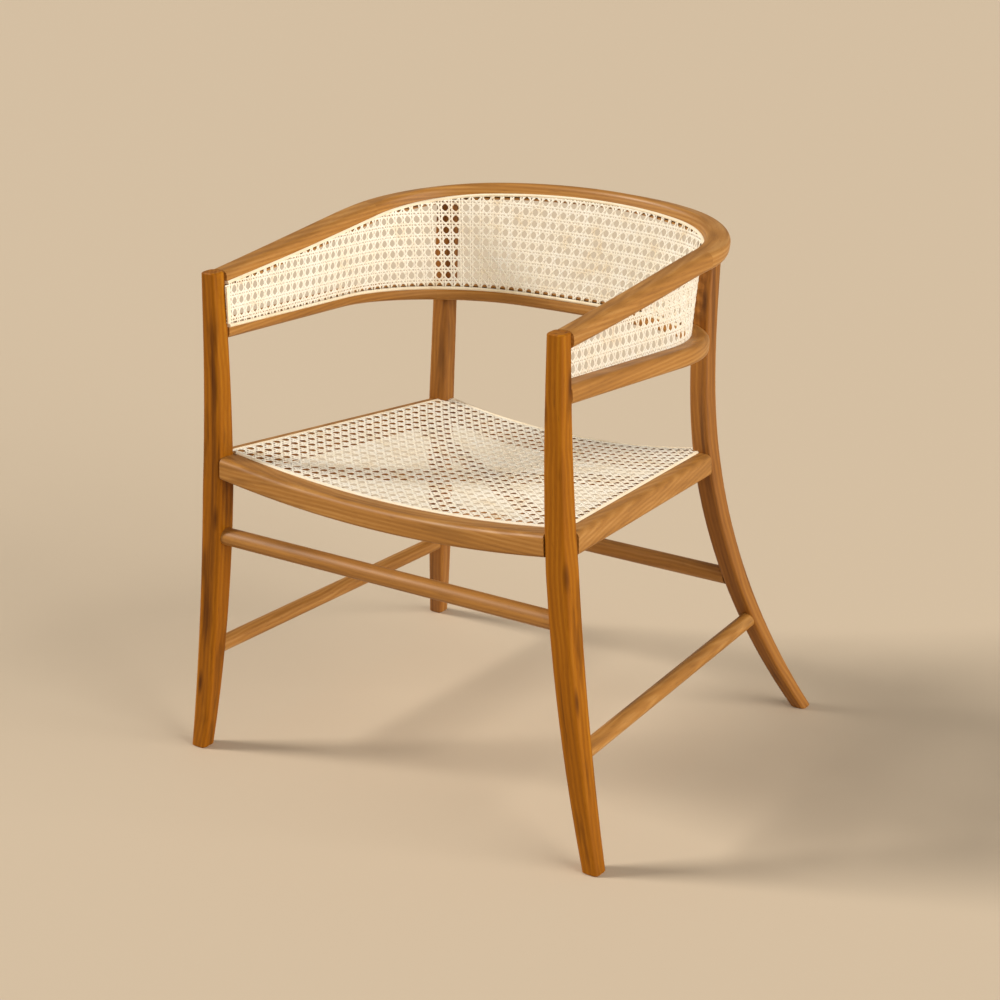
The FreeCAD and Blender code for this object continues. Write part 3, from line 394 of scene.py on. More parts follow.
@dataclass
class SeatSheet:
    """The dished sheet of the seat: u runs across and fans with the sides, v runs to the back.

    Its cross-section is an arc whose ends lie on the side reeds and whose middle hangs by the dish.
    """

    front_edge: float = -0.301
    height: float = 0.440
    slope: float = math.radians(4.06)
    dish: float = 0.020
    front_v: float = 0.037
    rear_v: float = 0.46486
    front_half: float = 0.25682
    rear_half: float = 0.21078
    lift: float = 0.00095
    tuck: float = 0.0015

    @property
    def middle_half(self) -> float:
        """Half width of the sheet half way back, where u is a true length."""
        return (self.front_half + self.rear_half) / 2

    @property
    def reach(self) -> float:
        """Half width of the sheet in u."""
        return self.middle_half + self.tuck

    def limits(self, u: np.ndarray) -> tuple[np.ndarray, np.ndarray]:
        """Front and rear v of the sheet at the places u."""
        return np.full_like(u, self.front_v - self.tuck), np.full_like(u, self.rear_v + self.tuck)

    def point(self, u: np.ndarray, v: np.ndarray) -> tuple[np.ndarray, np.ndarray]:
        """Points of the sheet and its upward normals.

        Args:
            u: places across the sheet.
            v: places behind the chair's front face.

        Returns:
            Points and unit normals, one row for each place.
        """
        share = (v - self.front_v) / (self.rear_v - self.front_v)
        half = self.front_half + (self.rear_half - self.front_half) * share
        x = u * half / self.middle_half
        radius = (half ** 2 + self.dish ** 2) / (2 * self.dish)
        sag = radius - np.sqrt(radius ** 2 - x ** 2) - self.dish
        z = self.height - v * math.tan(self.slope) + sag + self.lift
        lean = x / np.sqrt(radius ** 2 - x ** 2)
        normal = np.stack([-lean, np.full_like(x, math.tan(self.slope)), np.ones_like(x)], axis=-1)
        place = np.stack([x, v + self.front_edge, z], axis=-1)
        return place, normal / np.linalg.norm(normal, axis=-1, keepdims=True)


@dataclass
class Weave:
    """Octagon-hole cane weave on a sheet.

    Strands run in pairs beside the borders of square cells, and single diagonals cross at the middle
    of each border. The pairs weave over and under each other at the cells' corners, and the diagonals
    wave over one pair and under the other.
    """

    name: str
    sheet: BackSheet | SeatSheet
    node: str
    pitch_u: float
    pitch_v: float
    origin_v: float
    spread: float = 0.128
    width: float = 0.165
    thickness: float = 0.00046
    pair_wave: float = 0.00026
    cross_wave: float = 0.00055
    flat_top: float = 0.8
    end_clear: float = 0.05
    steps: int = 6
    fewest: int = 3
    stations: int = 801

    def knots(self, low: float, high: float, pitch: float, origin: float) -> np.ndarray:
        """Sample places along a strand: the two ends and each cell's own marks.

        A cell's marks are its start, its middle, the pair of strands about the middle and as far
        again to each side.

        Args:
            low: where the strand starts.
            high: where it ends.
            pitch: the length of a cell.
            origin: where a cell starts.

        Returns:
            The places in order.
        """
        cells = np.arange(math.floor((low - origin) / pitch) - 1, math.ceil((high - origin) / pitch) + 1)
        marks = np.concatenate([[0.0], 0.5 + self.spread * np.arange(-2, 3)])
        inner = (cells[:, None] + marks[None, :]).ravel() * pitch + origin
        clear = self.end_clear * pitch
        inner = inner[(inner > low + clear) & (inner < high - clear)]
        return np.concatenate([[low], inner, [high]])

    def corner_wave(self, cell: np.ndarray) -> np.ndarray:
        """Wave that peaks at one strand of a pair and dips at the other: (q/d) exp((1 - (q/d)^2)/2)."""
        q = (cell - np.floor(cell) - 0.5) / self.spread
        return q * np.exp((1 - q ** 2) / 2)

    def uprights(self) -> list[Line]:
        """Pairs of strands that run along v.

        Returns:
            Lines of (u, v, lift), whose lift is the corner wave, turned over for one strand of a pair.
        """
        lines = []
        last = int(self.sheet.reach / self.pitch_u) + 1
        for cell in range(-last, last + 1):
            for side in (-1, 1):
                u = (cell + 0.5 + side * self.spread) * self.pitch_u
                low, high = (float(e[0]) for e in self.sheet.limits(np.array([u])))
                if abs(u) > self.sheet.reach or high - low < self.pitch_v / 2:
                    continue
                v = self.knots(low, high, self.pitch_v, self.origin_v)
                lift = side * self.pair_wave * self.corner_wave((v - self.origin_v) / self.pitch_v)
                lines.append((np.full_like(v, u), v, lift))
        return lines

    def rows(self) -> list[Line]:
        """Pairs of strands that run along u, up where the uprights are down.

        Returns:
            Lines of (u, v, lift), whose lift is the corner wave, turned over for one strand of a pair.
        """
        lines = []
        u_all = np.linspace(-self.sheet.reach, self.sheet.reach, self.stations)
        low, high = self.sheet.limits(u_all)
        first = math.floor((low.min() - self.origin_v) / self.pitch_v) - 1
        last = math.ceil((high.max() - self.origin_v) / self.pitch_v) + 1
        for cell in range(first, last):
            for side in (-1, 1):
                v = (cell + 0.5 + side * self.spread) * self.pitch_v + self.origin_v
                inside = u_all[(low < v) & (v < high)]
                if len(inside) < self.fewest:
                    continue
                u = self.knots(inside[0], inside[-1], self.pitch_u, 0.0)
                lift = -side * self.pair_wave * self.corner_wave(u / self.pitch_u)
                lines.append((u, np.full_like(u, v), lift))
        return lines

    def diagonals(self, slant: int) -> list[Line]:
        """Single strands with u and v in step, one cell across for each cell up.

        Args:
            slant: 1 for strands that rise with u, -1 for strands that fall.

        Returns:
            Lines of (u, v, lift), whose lift is a cosine: up over one pair, down under the other.
        """
        lines = []
        reach = self.sheet.reach / self.pitch_u
        u_all = np.linspace(-self.sheet.reach, self.sheet.reach, self.stations)
        low, high = self.sheet.limits(u_all)
        floor = (low.min() - self.origin_v) / self.pitch_v
        ceiling = (high.max() - self.origin_v) / self.pitch_v
        shift = math.ceil(reach + max(abs(floor), abs(ceiling))) + 1
        first = math.floor(floor * self.steps) + 1
        inner = np.arange(first, math.ceil(ceiling * self.steps)) / self.steps
        for cell in range(-shift, shift):
            v = np.concatenate([[floor], inner, [ceiling]])
            u = slant * (v - cell - 0.5)
            bottom, top = self.sheet.limits(u * self.pitch_u)
            tall = v * self.pitch_v + self.origin_v
            keep = (np.abs(u) <= reach) & (tall >= bottom - TINY) & (tall <= top + TINY)
            if np.count_nonzero(keep) < self.fewest:
                continue
            lift = slant * self.cross_wave * np.cos(2 * math.pi * u[keep])
            lines.append((u[keep] * self.pitch_u, tall[keep], lift))
        return lines

    def lines(self, family: Family) -> list[Line]:
        """The strands of one family.

        Args:
            family: which of the four.

        Returns:
            Its lines of (u, v, lift).
        """
        if family is Family.UPRIGHTS:
            return self.uprights()
        if family is Family.ROWS:
            return self.rows()
        return self.diagonals(1 if family is Family.RISING else -1)

    def ribbon(self, line: Line) -> np.ndarray:
        """Corners of a flat strand along a line, four for each sample.

        The section is a flat trapezium, wider below: half the width to each side along
        normal x tangent, half the thickness up and down along the sheet's normal.

        Args:
            line: u, v and lift of the samples.

        Returns:
            Corners in rows of four.
        """
        u, v, lift = line
        place, normal = self.sheet.point(u, v)
        centre = place + normal * lift[:, None]
        run = np.gradient(centre, axis=0)
        side = np.cross(normal, run)
        side /= np.linalg.norm(side, axis=-1, keepdims=True)
        half = side * (self.width * min(self.pitch_u, self.pitch_v) / 2)
        rise = normal * (self.thickness / 2)
        shoulder = half * self.flat_top
        return np.stack([centre + half - rise, centre + shoulder + rise,
                         centre - shoulder + rise, centre - half - rise], axis=1)

    def build(self, cane: bpy.types.Material) -> None:
        """Make one piece for each family of strands, in place of the plain sheet.

        Args:
            cane: the strands' material.
        """
        for family in Family:
            ribbons = [self.ribbon(line) for line in self.lines(family)]
            piece = strands_mesh(f"{self.name}_{family.value}", ribbons)
            piece.data.materials.append(cane)
            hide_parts(self.node)
            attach(piece, "root")
            log.info("%s: %d strands, %d faces", piece.name, len(ribbons), len(piece.data.polygons))


def strands_mesh(name: str, ribbons: list[np.ndarray]) -> bpy.types.Object:
    """One mesh of closed strands: quads between neighbouring samples and a cap at each end.

    Args:
        name: the piece's name.
        ribbons: for each strand its corners, as samples x 4 x 3.

    Returns:
        The new object, at the origin.
    """
    corners = np.arange(CORNERS)
    faces = []
    base = 0
    for ribbon in ribbons:
        count = len(ribbon)
        row = base + CORNERS * np.arange(count - 1)[:, None]
        here = row + corners
        after = row + (corners + 1) % CORNERS
        sides = np.stack([here, here + CORNERS, after + CORNERS, after], axis=-1)
        first = base + corners[None, :]
        last = base + CORNERS * (count - 1) + corners[None, ::-1]
        faces.append(np.concatenate([sides.reshape(-1, CORNERS), first, last]))
        base += CORNERS * count
    points = np.concatenate([r.reshape(-1, 3) for r in ribbons])
    quads = np.concatenate(faces)
    if signed_volume(points, quads) < 0:
        quads = quads[:, ::-1]
    return mesh_object(name, points, quads)


def signed_volume(points: np.ndarray, quads: np.ndarray) -> float:
    """Volume inside closed quads: a sixth of the sum of a . (b x c) over their triangles.

    Args:
        points: the corners.
        quads: four corners for each face.

    Returns:
        The volume, positive where the faces point outwards.
    """
    a, b, c, d = (points[quads[:, k]] for k in range(CORNERS))
    halves = np.sum(a * np.cross(b, c), axis=-1) + np.sum(a * np.cross(c, d), axis=-1)
    return float(halves.sum() / 6)


def mesh_object(name: str, points: np.ndarray, quads: np.ndarray) -> bpy.types.Object:
    """A smooth-shaded object at the origin.

    Args:
        name: the object's name.
        points: its corners.
        quads: four corners for each face.

    Returns:
        The new object, linked to the scene.
    """
    mesh = bpy.data.meshes.new(name)
    mesh.vertices.add(len(points))
    mesh.vertices.foreach_set("co", points.astype(np.float32).ravel())
    mesh.loops.add(quads.size)
    mesh.loops.foreach_set("vertex_index", quads.astype(np.int32).ravel())
    mesh.polygons.add(len(quads))
    mesh.polygons.foreach_set("loop_start", np.arange(0, quads.size, CORNERS, dtype=np.int32))
    mesh.polygons.foreach_set("use_smooth", np.ones(len(quads), dtype=bool))
    mesh.update(calc_edges=True)
    piece = bpy.data.objects.new(name, mesh)
    bpy.context.scene.collection.objects.link(piece)
    return piece


@dataclass
class NodeSketch:
    """A small helper that adds and joins nodes in one tree."""

    tree: bpy.types.NodeTree

    def feed(self, node: bpy.types.Node, inputs: dict[str | int, object]) -> None:
        """Link outputs to a node's inputs, or set the inputs to plain values.

        Args:
            node: the node.
            inputs: outputs or plain values, by the names or numbers of the inputs.
        """
        for label, value in inputs.items():
            if isinstance(value, Socket):
                self.tree.links.new(value, node.inputs[label])
            else:
                node.inputs[label].default_value = value

    def add(self, kind: str, inputs: dict[str | int, object], **values: object) -> bpy.types.Node:
        """Add a node, set its properties and feed its inputs.

        Args:
            kind: the node's type.
            inputs: outputs or plain values for its inputs.
            values: its properties.

        Returns:
            The node.
        """
        node = self.tree.nodes.new(kind)
        for key, value in values.items():
            setattr(node, key, value)
        self.feed(node, inputs)
        return node

    def place(self) -> Socket:
        """The place in the chair, in metres."""
        return self.add("ShaderNodeTexCoord", {}).outputs["Object"]

    def maths(self, operation: str, a: object, b: object = 0.0, clamp: bool = False) -> Socket:
        """The result of a Math node."""
        return self.add("ShaderNodeMath", {0: a, 1: b}, operation=operation, use_clamp=clamp).outputs[0]

    def total(self, *parts: tuple[Socket, float]) -> Socket:
        """The sum of values, each times its share.

        Args:
            parts: pairs of a value and its share.

        Returns:
            The sum.
        """
        total, *others = [self.maths("MULTIPLY", value, share) for value, share in parts]
        for other in others:
            total = self.maths("ADD", total, other)
        return total

    def length(self, a: Socket, b: Socket) -> Socket:
        """The length of a flat vector: sqrt(a a + b b)."""
        squares = self.maths("ADD", self.maths("MULTIPLY", a, a), self.maths("MULTIPLY", b, b))
        return self.maths("SQRT", squares)

    def choose(self, flag: Socket, yes: Socket, no: Socket) -> Socket:
        """One value where the flag is 1, the other where it is 0."""
        more = self.maths("MULTIPLY", flag, self.maths("SUBTRACT", yes, no))
        return self.maths("ADD", no, more)

    def vector(self, x: object, y: object, z: object) -> Socket:
        """A vector from three values."""
        return self.add("ShaderNodeCombineXYZ", {"X": x, "Y": y, "Z": z}).outputs[0]

    def split(self, vector: Socket) -> Place:
        """The three values of a vector."""
        return tuple(self.add("ShaderNodeSeparateXYZ", {"Vector": vector}).outputs)

    def noise(self, vector: Socket, scale: float, detail: float, roughness: float = 0.5) -> Socket:
        """The value of a noise texture."""
        inputs = {"Vector": vector, "Scale": scale, "Detail": detail, "Roughness": roughness}
        return self.add("ShaderNodeTexNoise", inputs).outputs[0]

    def drawn_out(self, place: Place, pattern: Pattern) -> Socket:
        """A place in the wood, scaled for a pattern that is drawn out along the grain."""
        scales = (pattern.along, pattern.across, pattern.across)
        return self.vector(*(self.maths("MULTIPLY", value, scale) for value, scale in zip(place, scales)))

    def grain_noise(self, place: Place, pattern: Pattern) -> Socket:
        """The value of a noise that is drawn out along the grain."""
        return self.noise(self.drawn_out(place, pattern), 1.0, pattern.detail, pattern.roughness)

    def grain_cells(self, place: Place, pattern: Pattern) -> Socket:
        """The distance to the nearest point of a cell pattern that is drawn out along the grain."""
        inputs = {"Vector": self.drawn_out(place, pattern), "Scale": 1.0}
        return self.add("ShaderNodeTexVoronoi", inputs).outputs["Distance"]

    def ramp(self, value: Socket, *stops: tuple[float, Rgb]) -> Socket:
        """A colour ramp.

        Args:
            value: the place on the ramp.
            stops: pairs of a place and its colour.

        Returns:
            The colour.
        """
        node = self.add("ShaderNodeValToRGB", {0: value})
        elements = node.color_ramp.elements
        middle = 0.5
        while len(elements) < len(stops):
            elements.new(middle)
        for element, (place, colour) in zip(elements, stops):
            element.position = place
            element.color = (*colour, 1.0)
        return node.outputs[0]

    def span(self, value: Socket, low: float, high: float, to_low: float, to_high: float) -> Socket:
        """A clamped Map Range from (low, high) to (to_low, to_high)."""
        inputs = dict(enumerate((value, low, high, to_low, to_high)))
        return self.add("ShaderNodeMapRange", inputs, clamp=True).outputs[0]

    def mix(self, factor: Socket, a: Socket, b: Socket) -> Socket:
        """A mix of two colours, where the factor is the second one's share."""
        inputs = {"Factor": factor, "A": a, "B": b}
        return self.add("ShaderNodeMix", inputs, data_type="RGBA").outputs["Result"]

    def bump(self, height: Socket, strength: float, depth: float) -> Socket:
        """The normal of a surface with bumps."""
        inputs = {"Height": height, "Strength": strength, "Distance": depth}
        return self.add("ShaderNodeBump", inputs).outputs["Normal"]


def new_group(name: str, inputs: dict[str, str], outputs: dict[str, str], kind: str = "Shader"
              ) -> bpy.types.NodeTree:
    """An empty node group with named sockets.

    Args:
        name: the group's name.
        inputs: socket names and kinds that come in.
        outputs: socket names and kinds that go out.
        kind: the kind of nodes, Shader or Geometry.

    Returns:
        The group, with its input and output nodes in place.
    """
    group = bpy.data.node_groups.new(name, f"{kind}NodeTree")
    for direction, sockets in (("INPUT", inputs), ("OUTPUT", outputs)):
        for label, socket in sockets.items():
            group.interface.new_socket(name=label, in_out=direction, socket_type=f"NodeSocket{socket}")
    group.nodes.new("NodeGroupInput")
    group.nodes.new("NodeGroupOutput")
    return group


def new_material(name: str) -> tuple[bpy.types.Material, NodeSketch, bpy.types.Node]:
    """A material with nodes.

    Args:
        name: the material's name.

    Returns:
        The material, a sketch of its nodes and its shader.
    """
    material = bpy.data.materials.new(name)
    material.use_nodes = True
    return material, NodeSketch(material.node_tree), material.node_tree.nodes["Principled BSDF"]


def year_rings(sketch: NodeSketch, place: Place, figure: TeakFigure) -> Socket:
    """Bands of rings about the heart: sin(2 pi r / spacing), with r bent by a slow noise.

    Args:
        sketch: the tree that takes the nodes.
        place: along, across and height.
        figure: the rings' sizes.

    Returns:
        The bands, from 0 to 1.
    """
    along, across, height = place
    slow = sketch.vector(sketch.maths("MULTIPLY", along, figure.wander_along), across, height)
    drift = sketch.noise(slow, figure.wander_scale, figure.wander_detail)
    far = sketch.maths("ADD", across, sketch.maths("MULTIPLY", drift, figure.wander))
    far = sketch.maths("ADD", far, figure.heart_across)
    near = sketch.maths("ADD", height, figure.heart_height)
    turns = sketch.maths("MULTIPLY", sketch.length(far, near), 2 * math.pi / figure.ring_spacing)
    return sketch.span(sketch.maths("SINE", turns), -1.0, 1.0, 0.0, 1.0)


def teak_group(figure: TeakFigure) -> bpy.types.NodeTree:
    """Teak figure: long bands, dark streaks, flecks and short pores along the first coordinate.

    Streaks, clouds and veins are noise drawn out along the grain, and pores are fine noise drawn out
    less. Flecks are drops about the points of a drawn-out cell pattern. The tone is a sum of streaks,
    clouds and year rings. It leads from dark over middle to pale, and the other patterns darken it.

    Args:
        figure: the patterns' sizes and shares.

    Returns:
        A group from Place (along, across, height), Shift, Sheen, Veins and three colours to
        Colour, Roughness and Height.
    """
    shades = ("Dark", "Middle", "Pale")
    inputs = {"Place": "Vector", **{s: "Float" for s in ("Shift", "Sheen", "Veins")},
              **{s: "Color" for s in shades}}
    outputs = {"Colour": "Color", "Roughness": "Float", "Height": "Float"}
    group = new_group("teak_figure", inputs, outputs)
    sketch = NodeSketch(group)
    source = group.nodes["Group Input"]
    along, across, height = sketch.split(source.outputs["Place"])
    place = (sketch.maths("ADD", along, source.outputs["Shift"]), across, height)
    ring = year_rings(sketch, place, figure)
    streak = sketch.grain_noise(place, figure.streaks)
    cloud = sketch.grain_noise(place, figure.clouds)
    pore = sketch.span(sketch.grain_noise(place, figure.pores), *figure.pore_span)
    tone = sketch.total((streak, figure.streak_share), (cloud, figure.cloud_share),
                        (ring, figure.ring_share))
    dark, middle, pale = (source.outputs[s] for s in shades)
    colour = sketch.mix(sketch.span(tone, *figure.to_dark), middle, dark)
    colour = sketch.mix(sketch.span(tone, *figure.to_pale), colour, pale)
    line = sketch.span(streak, *figure.line_span)
    vein = sketch.span(sketch.grain_noise(place, figure.veins), *figure.vein_span)
    fleck = sketch.span(sketch.grain_cells(place, figure.flecks), *figure.fleck_span)
    for mark in (line, vein, fleck):
        share = sketch.maths("MULTIPLY", mark, source.outputs["Veins"], clamp=True)
        colour = sketch.mix(share, colour, dark)
    colour = sketch.mix(sketch.maths("MULTIPLY", pore, figure.pore_share), colour, dark)
    sheen = sketch.maths("ADD", source.outputs["Sheen"], sketch.span(tone, *figure.sheen_span))
    lift = sketch.total((streak, figure.streak_height), (pore, figure.pore_height))
    sketch.feed(group.nodes["Group Output"], {"Colour": colour, "Roughness": sheen, "Height": lift})
    return group


def bend_group() -> bpy.types.NodeTree:
    """Places along a bent rail: arc length on the bend and on the bowed back, and how far outside it.

    On the bend the angle is taken about the corner's centre and on the back about the bow's centre;
    along = bend x angle, and from the change on it grows by bow x (angle - turn).

    Returns:
        A group from Place and the line's sizes to Along (along, outwards, height).
    """
    sizes = ("Centre X", "Centre Y", "Bend", "Bow", "Bow Centre", "Turn")
    inputs = {"Place": "Vector", **{s: "Float" for s in sizes}}
    group = new_group("bent_rail", inputs, {"Along": "Vector"})
    sketch = NodeSketch(group)
    source = group.nodes["Group Input"]
    x, y, z = sketch.split(source.outputs["Place"])
    side = sketch.maths("ABSOLUTE", x)
    centre_x, centre_y, bend, bow, bow_centre, turn = (source.outputs[s] for s in sizes)
    dx = sketch.maths("SUBTRACT", side, centre_x)
    dy = sketch.maths("SUBTRACT", y, centre_y)
    bow_dy = sketch.maths("SUBTRACT", y, bow_centre)
    bow_angle = sketch.maths("ARCTAN2", bow_dy, side)
    on_arm = sketch.maths("LESS_THAN", dy, 0.0)
    on_bow = sketch.maths("GREATER_THAN", bow_angle, turn)
    along_bend = sketch.maths("MULTIPLY", bend, sketch.maths("ARCTAN2", dy, dx))
    along_bow = sketch.maths("ADD", sketch.maths("MULTIPLY", bend, turn),
                             sketch.maths("MULTIPLY", bow, sketch.maths("SUBTRACT", bow_angle, turn)))
    out_arm = sketch.maths("SUBTRACT", dx, bend)
    out_bend = sketch.maths("SUBTRACT", sketch.length(dx, dy), bend)
    out_bow = sketch.maths("SUBTRACT", sketch.length(side, bow_dy), bow)
    along = sketch.choose(on_bow, along_bow, sketch.choose(on_arm, dy, along_bend))
    out = sketch.choose(on_bow, out_bow, sketch.choose(on_arm, out_arm, out_bend))
    along = sketch.maths("ADD", along, sketch.maths("MULTIPLY", sketch.maths("SIGN", x), SIDE_SHIFT))
    sketch.feed(group.nodes["Group Output"], {"Along": sketch.vector(along, out, z)})
    return group


def leg_drift(sketch: NodeSketch, z: Socket, reach: float, top: float, power: float) -> Socket:
    """How far a leg has left its straight line: reach (1 - z / top) ** power below the top.

    Args:
        sketch: the tree that takes the nodes.
        z: the height.
        reach: how far off the foot is.
        top: the height at which the curve starts.
        power: how late it bends away.

    Returns:
        The distance at the height z.
    """
    drop = sketch.maths("SUBTRACT", 1.0, sketch.maths("DIVIDE", z, top))
    drop = sketch.maths("MAXIMUM", drop, 0.0)
    return sketch.maths("MULTIPLY", sketch.maths("POWER", drop, power), reach)


@dataclass
class TeakShop:
    """Makes the teak materials, one for each board."""

    figure: TeakFigure = TeakFigure()
    figure_nodes: bpy.types.NodeTree = field(init=False)
    bend_nodes: bpy.types.NodeTree = field(init=False)

    def __post_init__(self) -> None:
        """Build the shared groups once."""
        self.figure_nodes = teak_group(self.figure)
        self.bend_nodes = bend_group()

    def in_rail(self, sketch: NodeSketch, place: Socket, line: RailLine) -> Socket:
        """The place in a bent rail.

        Args:
            sketch: the tree that takes the nodes.
            place: the place in the chair.
            line: the rail's line.

        Returns:
            The place as (along, outwards, height).
        """
        inputs = {"Place": place, "Centre X": line.centre_x, "Centre Y": line.centre_y, "Bend": line.bend,
                  "Bow": line.bow, "Bow Centre": line.bow_centre, "Turn": line.turn}
        return sketch.add("ShaderNodeGroup", inputs, node_tree=self.bend_nodes).outputs["Along"]

    def in_leg(self, sketch: NodeSketch, place: Socket, line: LegLine) -> Socket:
        """The place in a curved leg.

        Args:
            sketch: the tree that takes the nodes.
            place: the place in the chair.
            line: the leg's curve.

        Returns:
            The place as (height, outwards, backwards), both less the leg's own drift.
        """
        x, y, z = sketch.split(place)
        out = leg_drift(sketch, z, line.splay, line.splay_top, line.splay_power)
        back = leg_drift(sketch, z, line.sweep, line.sweep_top, line.sweep_power)
        across = sketch.maths("SUBTRACT", sketch.maths("ABSOLUTE", x), out)
        return sketch.vector(z, across, sketch.maths("SUBTRACT", y, back))

    def along(self, sketch: NodeSketch, grain: Grain) -> Socket:
        """The place in the wood.

        Args:
            sketch: the tree that takes the nodes.
            grain: which way the grain runs.

        Returns:
            The place as (along, across, height) of the grain.
        """
        place = sketch.place()
        if grain in RAIL_LINES:
            return self.in_rail(sketch, place, RAIL_LINES[grain])
        if grain in LEG_LINES:
            return self.in_leg(sketch, place, LEG_LINES[grain])
        x, y, z = sketch.split(place)
        if grain is Grain.DEPTH:
            return sketch.vector(y, x, z)
        if grain is Grain.SLAT:
            return sketch.vector(sketch.maths("ADD", x, y), sketch.maths("SUBTRACT", x, y), z)
        return sketch.vector(x, y, z)

    def material(self, grain: Grain, tone: TeakFinish, shift: float) -> bpy.types.Material:
        """A teak material.

        Args:
            grain: which way the grain runs.
            tone: the board's colours and sheen; the legs' colours are darkened by painted shade and the
                other pieces' paled by painted sheen.
            shift: how far this board's figure is moved along.

        Returns:
            The material.
        """
        decimetres = round(shift * 10)
        material, sketch, shader = new_material(f"teak_{grain.value}_{decimetres}")
        inputs = {"Place": self.along(sketch, grain), "Shift": shift, "Sheen": tone.roughness,
                  "Veins": tone.veins, "Dark": (*tone.dark, 1.0), "Middle": (*tone.middle, 1.0),
                  "Pale": (*tone.pale, 1.0)}
        figure = sketch.add("ShaderNodeGroup", inputs, node_tree=self.figure_nodes)
        sketch.feed(shader, {
            "Base Color": figure.outputs["Colour"],
            "Roughness": figure.outputs["Roughness"],
            "Normal": sketch.bump(figure.outputs["Height"], tone.bump, tone.bump_depth),
            "Specular IOR Level": tone.specular,
        })
        return material


def cane_material(name: str, cane: CaneFinish) -> bpy.types.Material:
    """Cane or reed: pale, with soft blotches and fine fibres.

    Args:
        name: the material's name.
        cane: its colours, blotches and fibres.

    Returns:
        The material.
    """
    material, sketch, shader = new_material(name)
    place = sketch.place()
    blotch = sketch.noise(place, cane.blotch_scale, cane.blotch_detail, cane.grit)
    fibre = sketch.noise(place, cane.fibre_scale, cane.fibre_detail, cane.grit)
    tone = sketch.total((blotch, cane.blotch_share), (fibre, cane.fibre_share))
    dull = cane.roughness + cane.shade_rise
    sketch.feed(shader, {
        "Base Color": sketch.ramp(tone, *zip(cane.stops, (cane.shade, cane.body, cane.light))),
        "Roughness": sketch.span(tone, cane.tone_low, cane.tone_high, dull, cane.roughness),
        "Normal": sketch.bump(fibre, cane.bump, cane.bump_depth),
        "Specular IOR Level": cane.specular,
    })
    return material


def plain_material(name: str, plain: PlainFinish) -> bpy.types.Material:
    """A material for small hidden pieces.

    Args:
        name: the material's name.
        plain: its colour, clouds and sheen.

    Returns:
        The material.
    """
    material, sketch, shader = new_material(name)
    place = sketch.place()
    cloud = sketch.noise(place, plain.cloud_scale, plain.cloud_detail)
    dim = tuple(c * (1 - plain.fade) for c in plain.colour)
    sketch.feed(shader, {
        "Base Color": sketch.ramp(cloud, (plain.cloud_low, dim), (plain.cloud_high, plain.colour)),
        "Metallic": plain.metallic,
        "Roughness": plain.roughness,
    })
    return material


def smooth_group(angle: float) -> bpy.types.NodeTree:
    """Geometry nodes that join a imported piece's loose triangles and smooth its flatter edges.

    Args:
        angle: the fold from which an edge stays sharp.

    Returns:
        The node group.
    """
    socket = {"Geometry": "Geometry"}
    group = new_group("smooth_by_angle", socket, socket, "Geometry")
    sketch = NodeSketch(group)
    loose = group.nodes["Group Input"].outputs["Geometry"]
    merge = sketch.add("GeometryNodeMergeByDistance", {"Geometry": loose, "Distance": MERGE_REACH})
    faces = sketch.add("GeometryNodeSetShadeSmooth", {"Geometry": merge.outputs["Geometry"]})
    fold = sketch.add("GeometryNodeInputMeshEdgeAngle", {}).outputs["Unsigned Angle"]
    sharp = sketch.add("FunctionNodeCompare", {0: fold, 1: angle}, operation="GREATER_THAN").outputs[0]
    inputs = {"Geometry": faces.outputs["Geometry"], "Selection": sharp, "Shade Smooth": False}
    edges = sketch.add("GeometryNodeSetShadeSmooth", inputs, domain="EDGE")
    sketch.feed(group.nodes["Group Output"], {"Geometry": edges.outputs["Geometry"]})
    return group


def finish(piece: bpy.types.Object, material: bpy.types.Material, smooth: bpy.types.NodeTree) -> None:
    """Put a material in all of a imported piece's slots and shade it softly.

    Args:
        piece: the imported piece.
        material: its material.
        smooth: the shading modifier's nodes.
    """
    for slot in piece.material_slots:
        slot.material = material
    piece.modifiers.new("smooth_by_angle", "NODES").node_group = smooth
    weighted = piece.modifiers.new("weighted_normals", "WEIGHTED_NORMAL")
    weighted.keep_sharp = True


def pairs(*names: str) -> tuple[str, ...]:
    """The left and the right piece of each name."""
    return tuple(f"{name}_{side}" for name in names for side in ("left", "right"))


@dataclass
class Woodwork:
    """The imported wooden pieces, dressed by the way their grain runs."""

    front_leg: tuple[str, ...] = pairs("front_leg")
    rear_leg: tuple[str, ...] = pairs("rear_leg")
    depth: tuple[str, ...] = pairs("arm_rail", "seat_side_rail", "side_stretcher")
    width: tuple[str, ...] = ("seat_front_rail", "seat_rear_rail", "front_stretcher", "rear_stretcher")
    top_rail: tuple[str, ...] = pairs("crest_rail")
    lower_rail: tuple[str, ...] = (*pairs("lower_rail"), "lower_rail_back")
    slat: tuple[str, ...] = pairs("seat_brace")
    smooth_angle: float = math.radians(32.0)
    board_shift: float = 0.83

    def dress(self, shop: TeakShop, smooth: bpy.types.NodeTree) -> None:
        """Give each wooden piece its own board of teak and soft shading.

        Args:
            shop: the maker of teak materials.
            smooth: the shading modifier's nodes.
        """
        board = 0
        for grain in Grain:
            # Legs get colours darkened by painted shade, every other piece the colours paled by painted
            # sheen.
            tone = LEG_TONES_PAINTED_SHADE.get(grain, RAIL_TEAK_PAINTED_SHEEN)
            for name in getattr(self, grain.value):
                board += 1
                material = shop.material(grain, tone, board * self.board_shift)
                finish(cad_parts[name], material, smooth)
                log.info("%s dressed in teak, grain %s", name, grain.value)


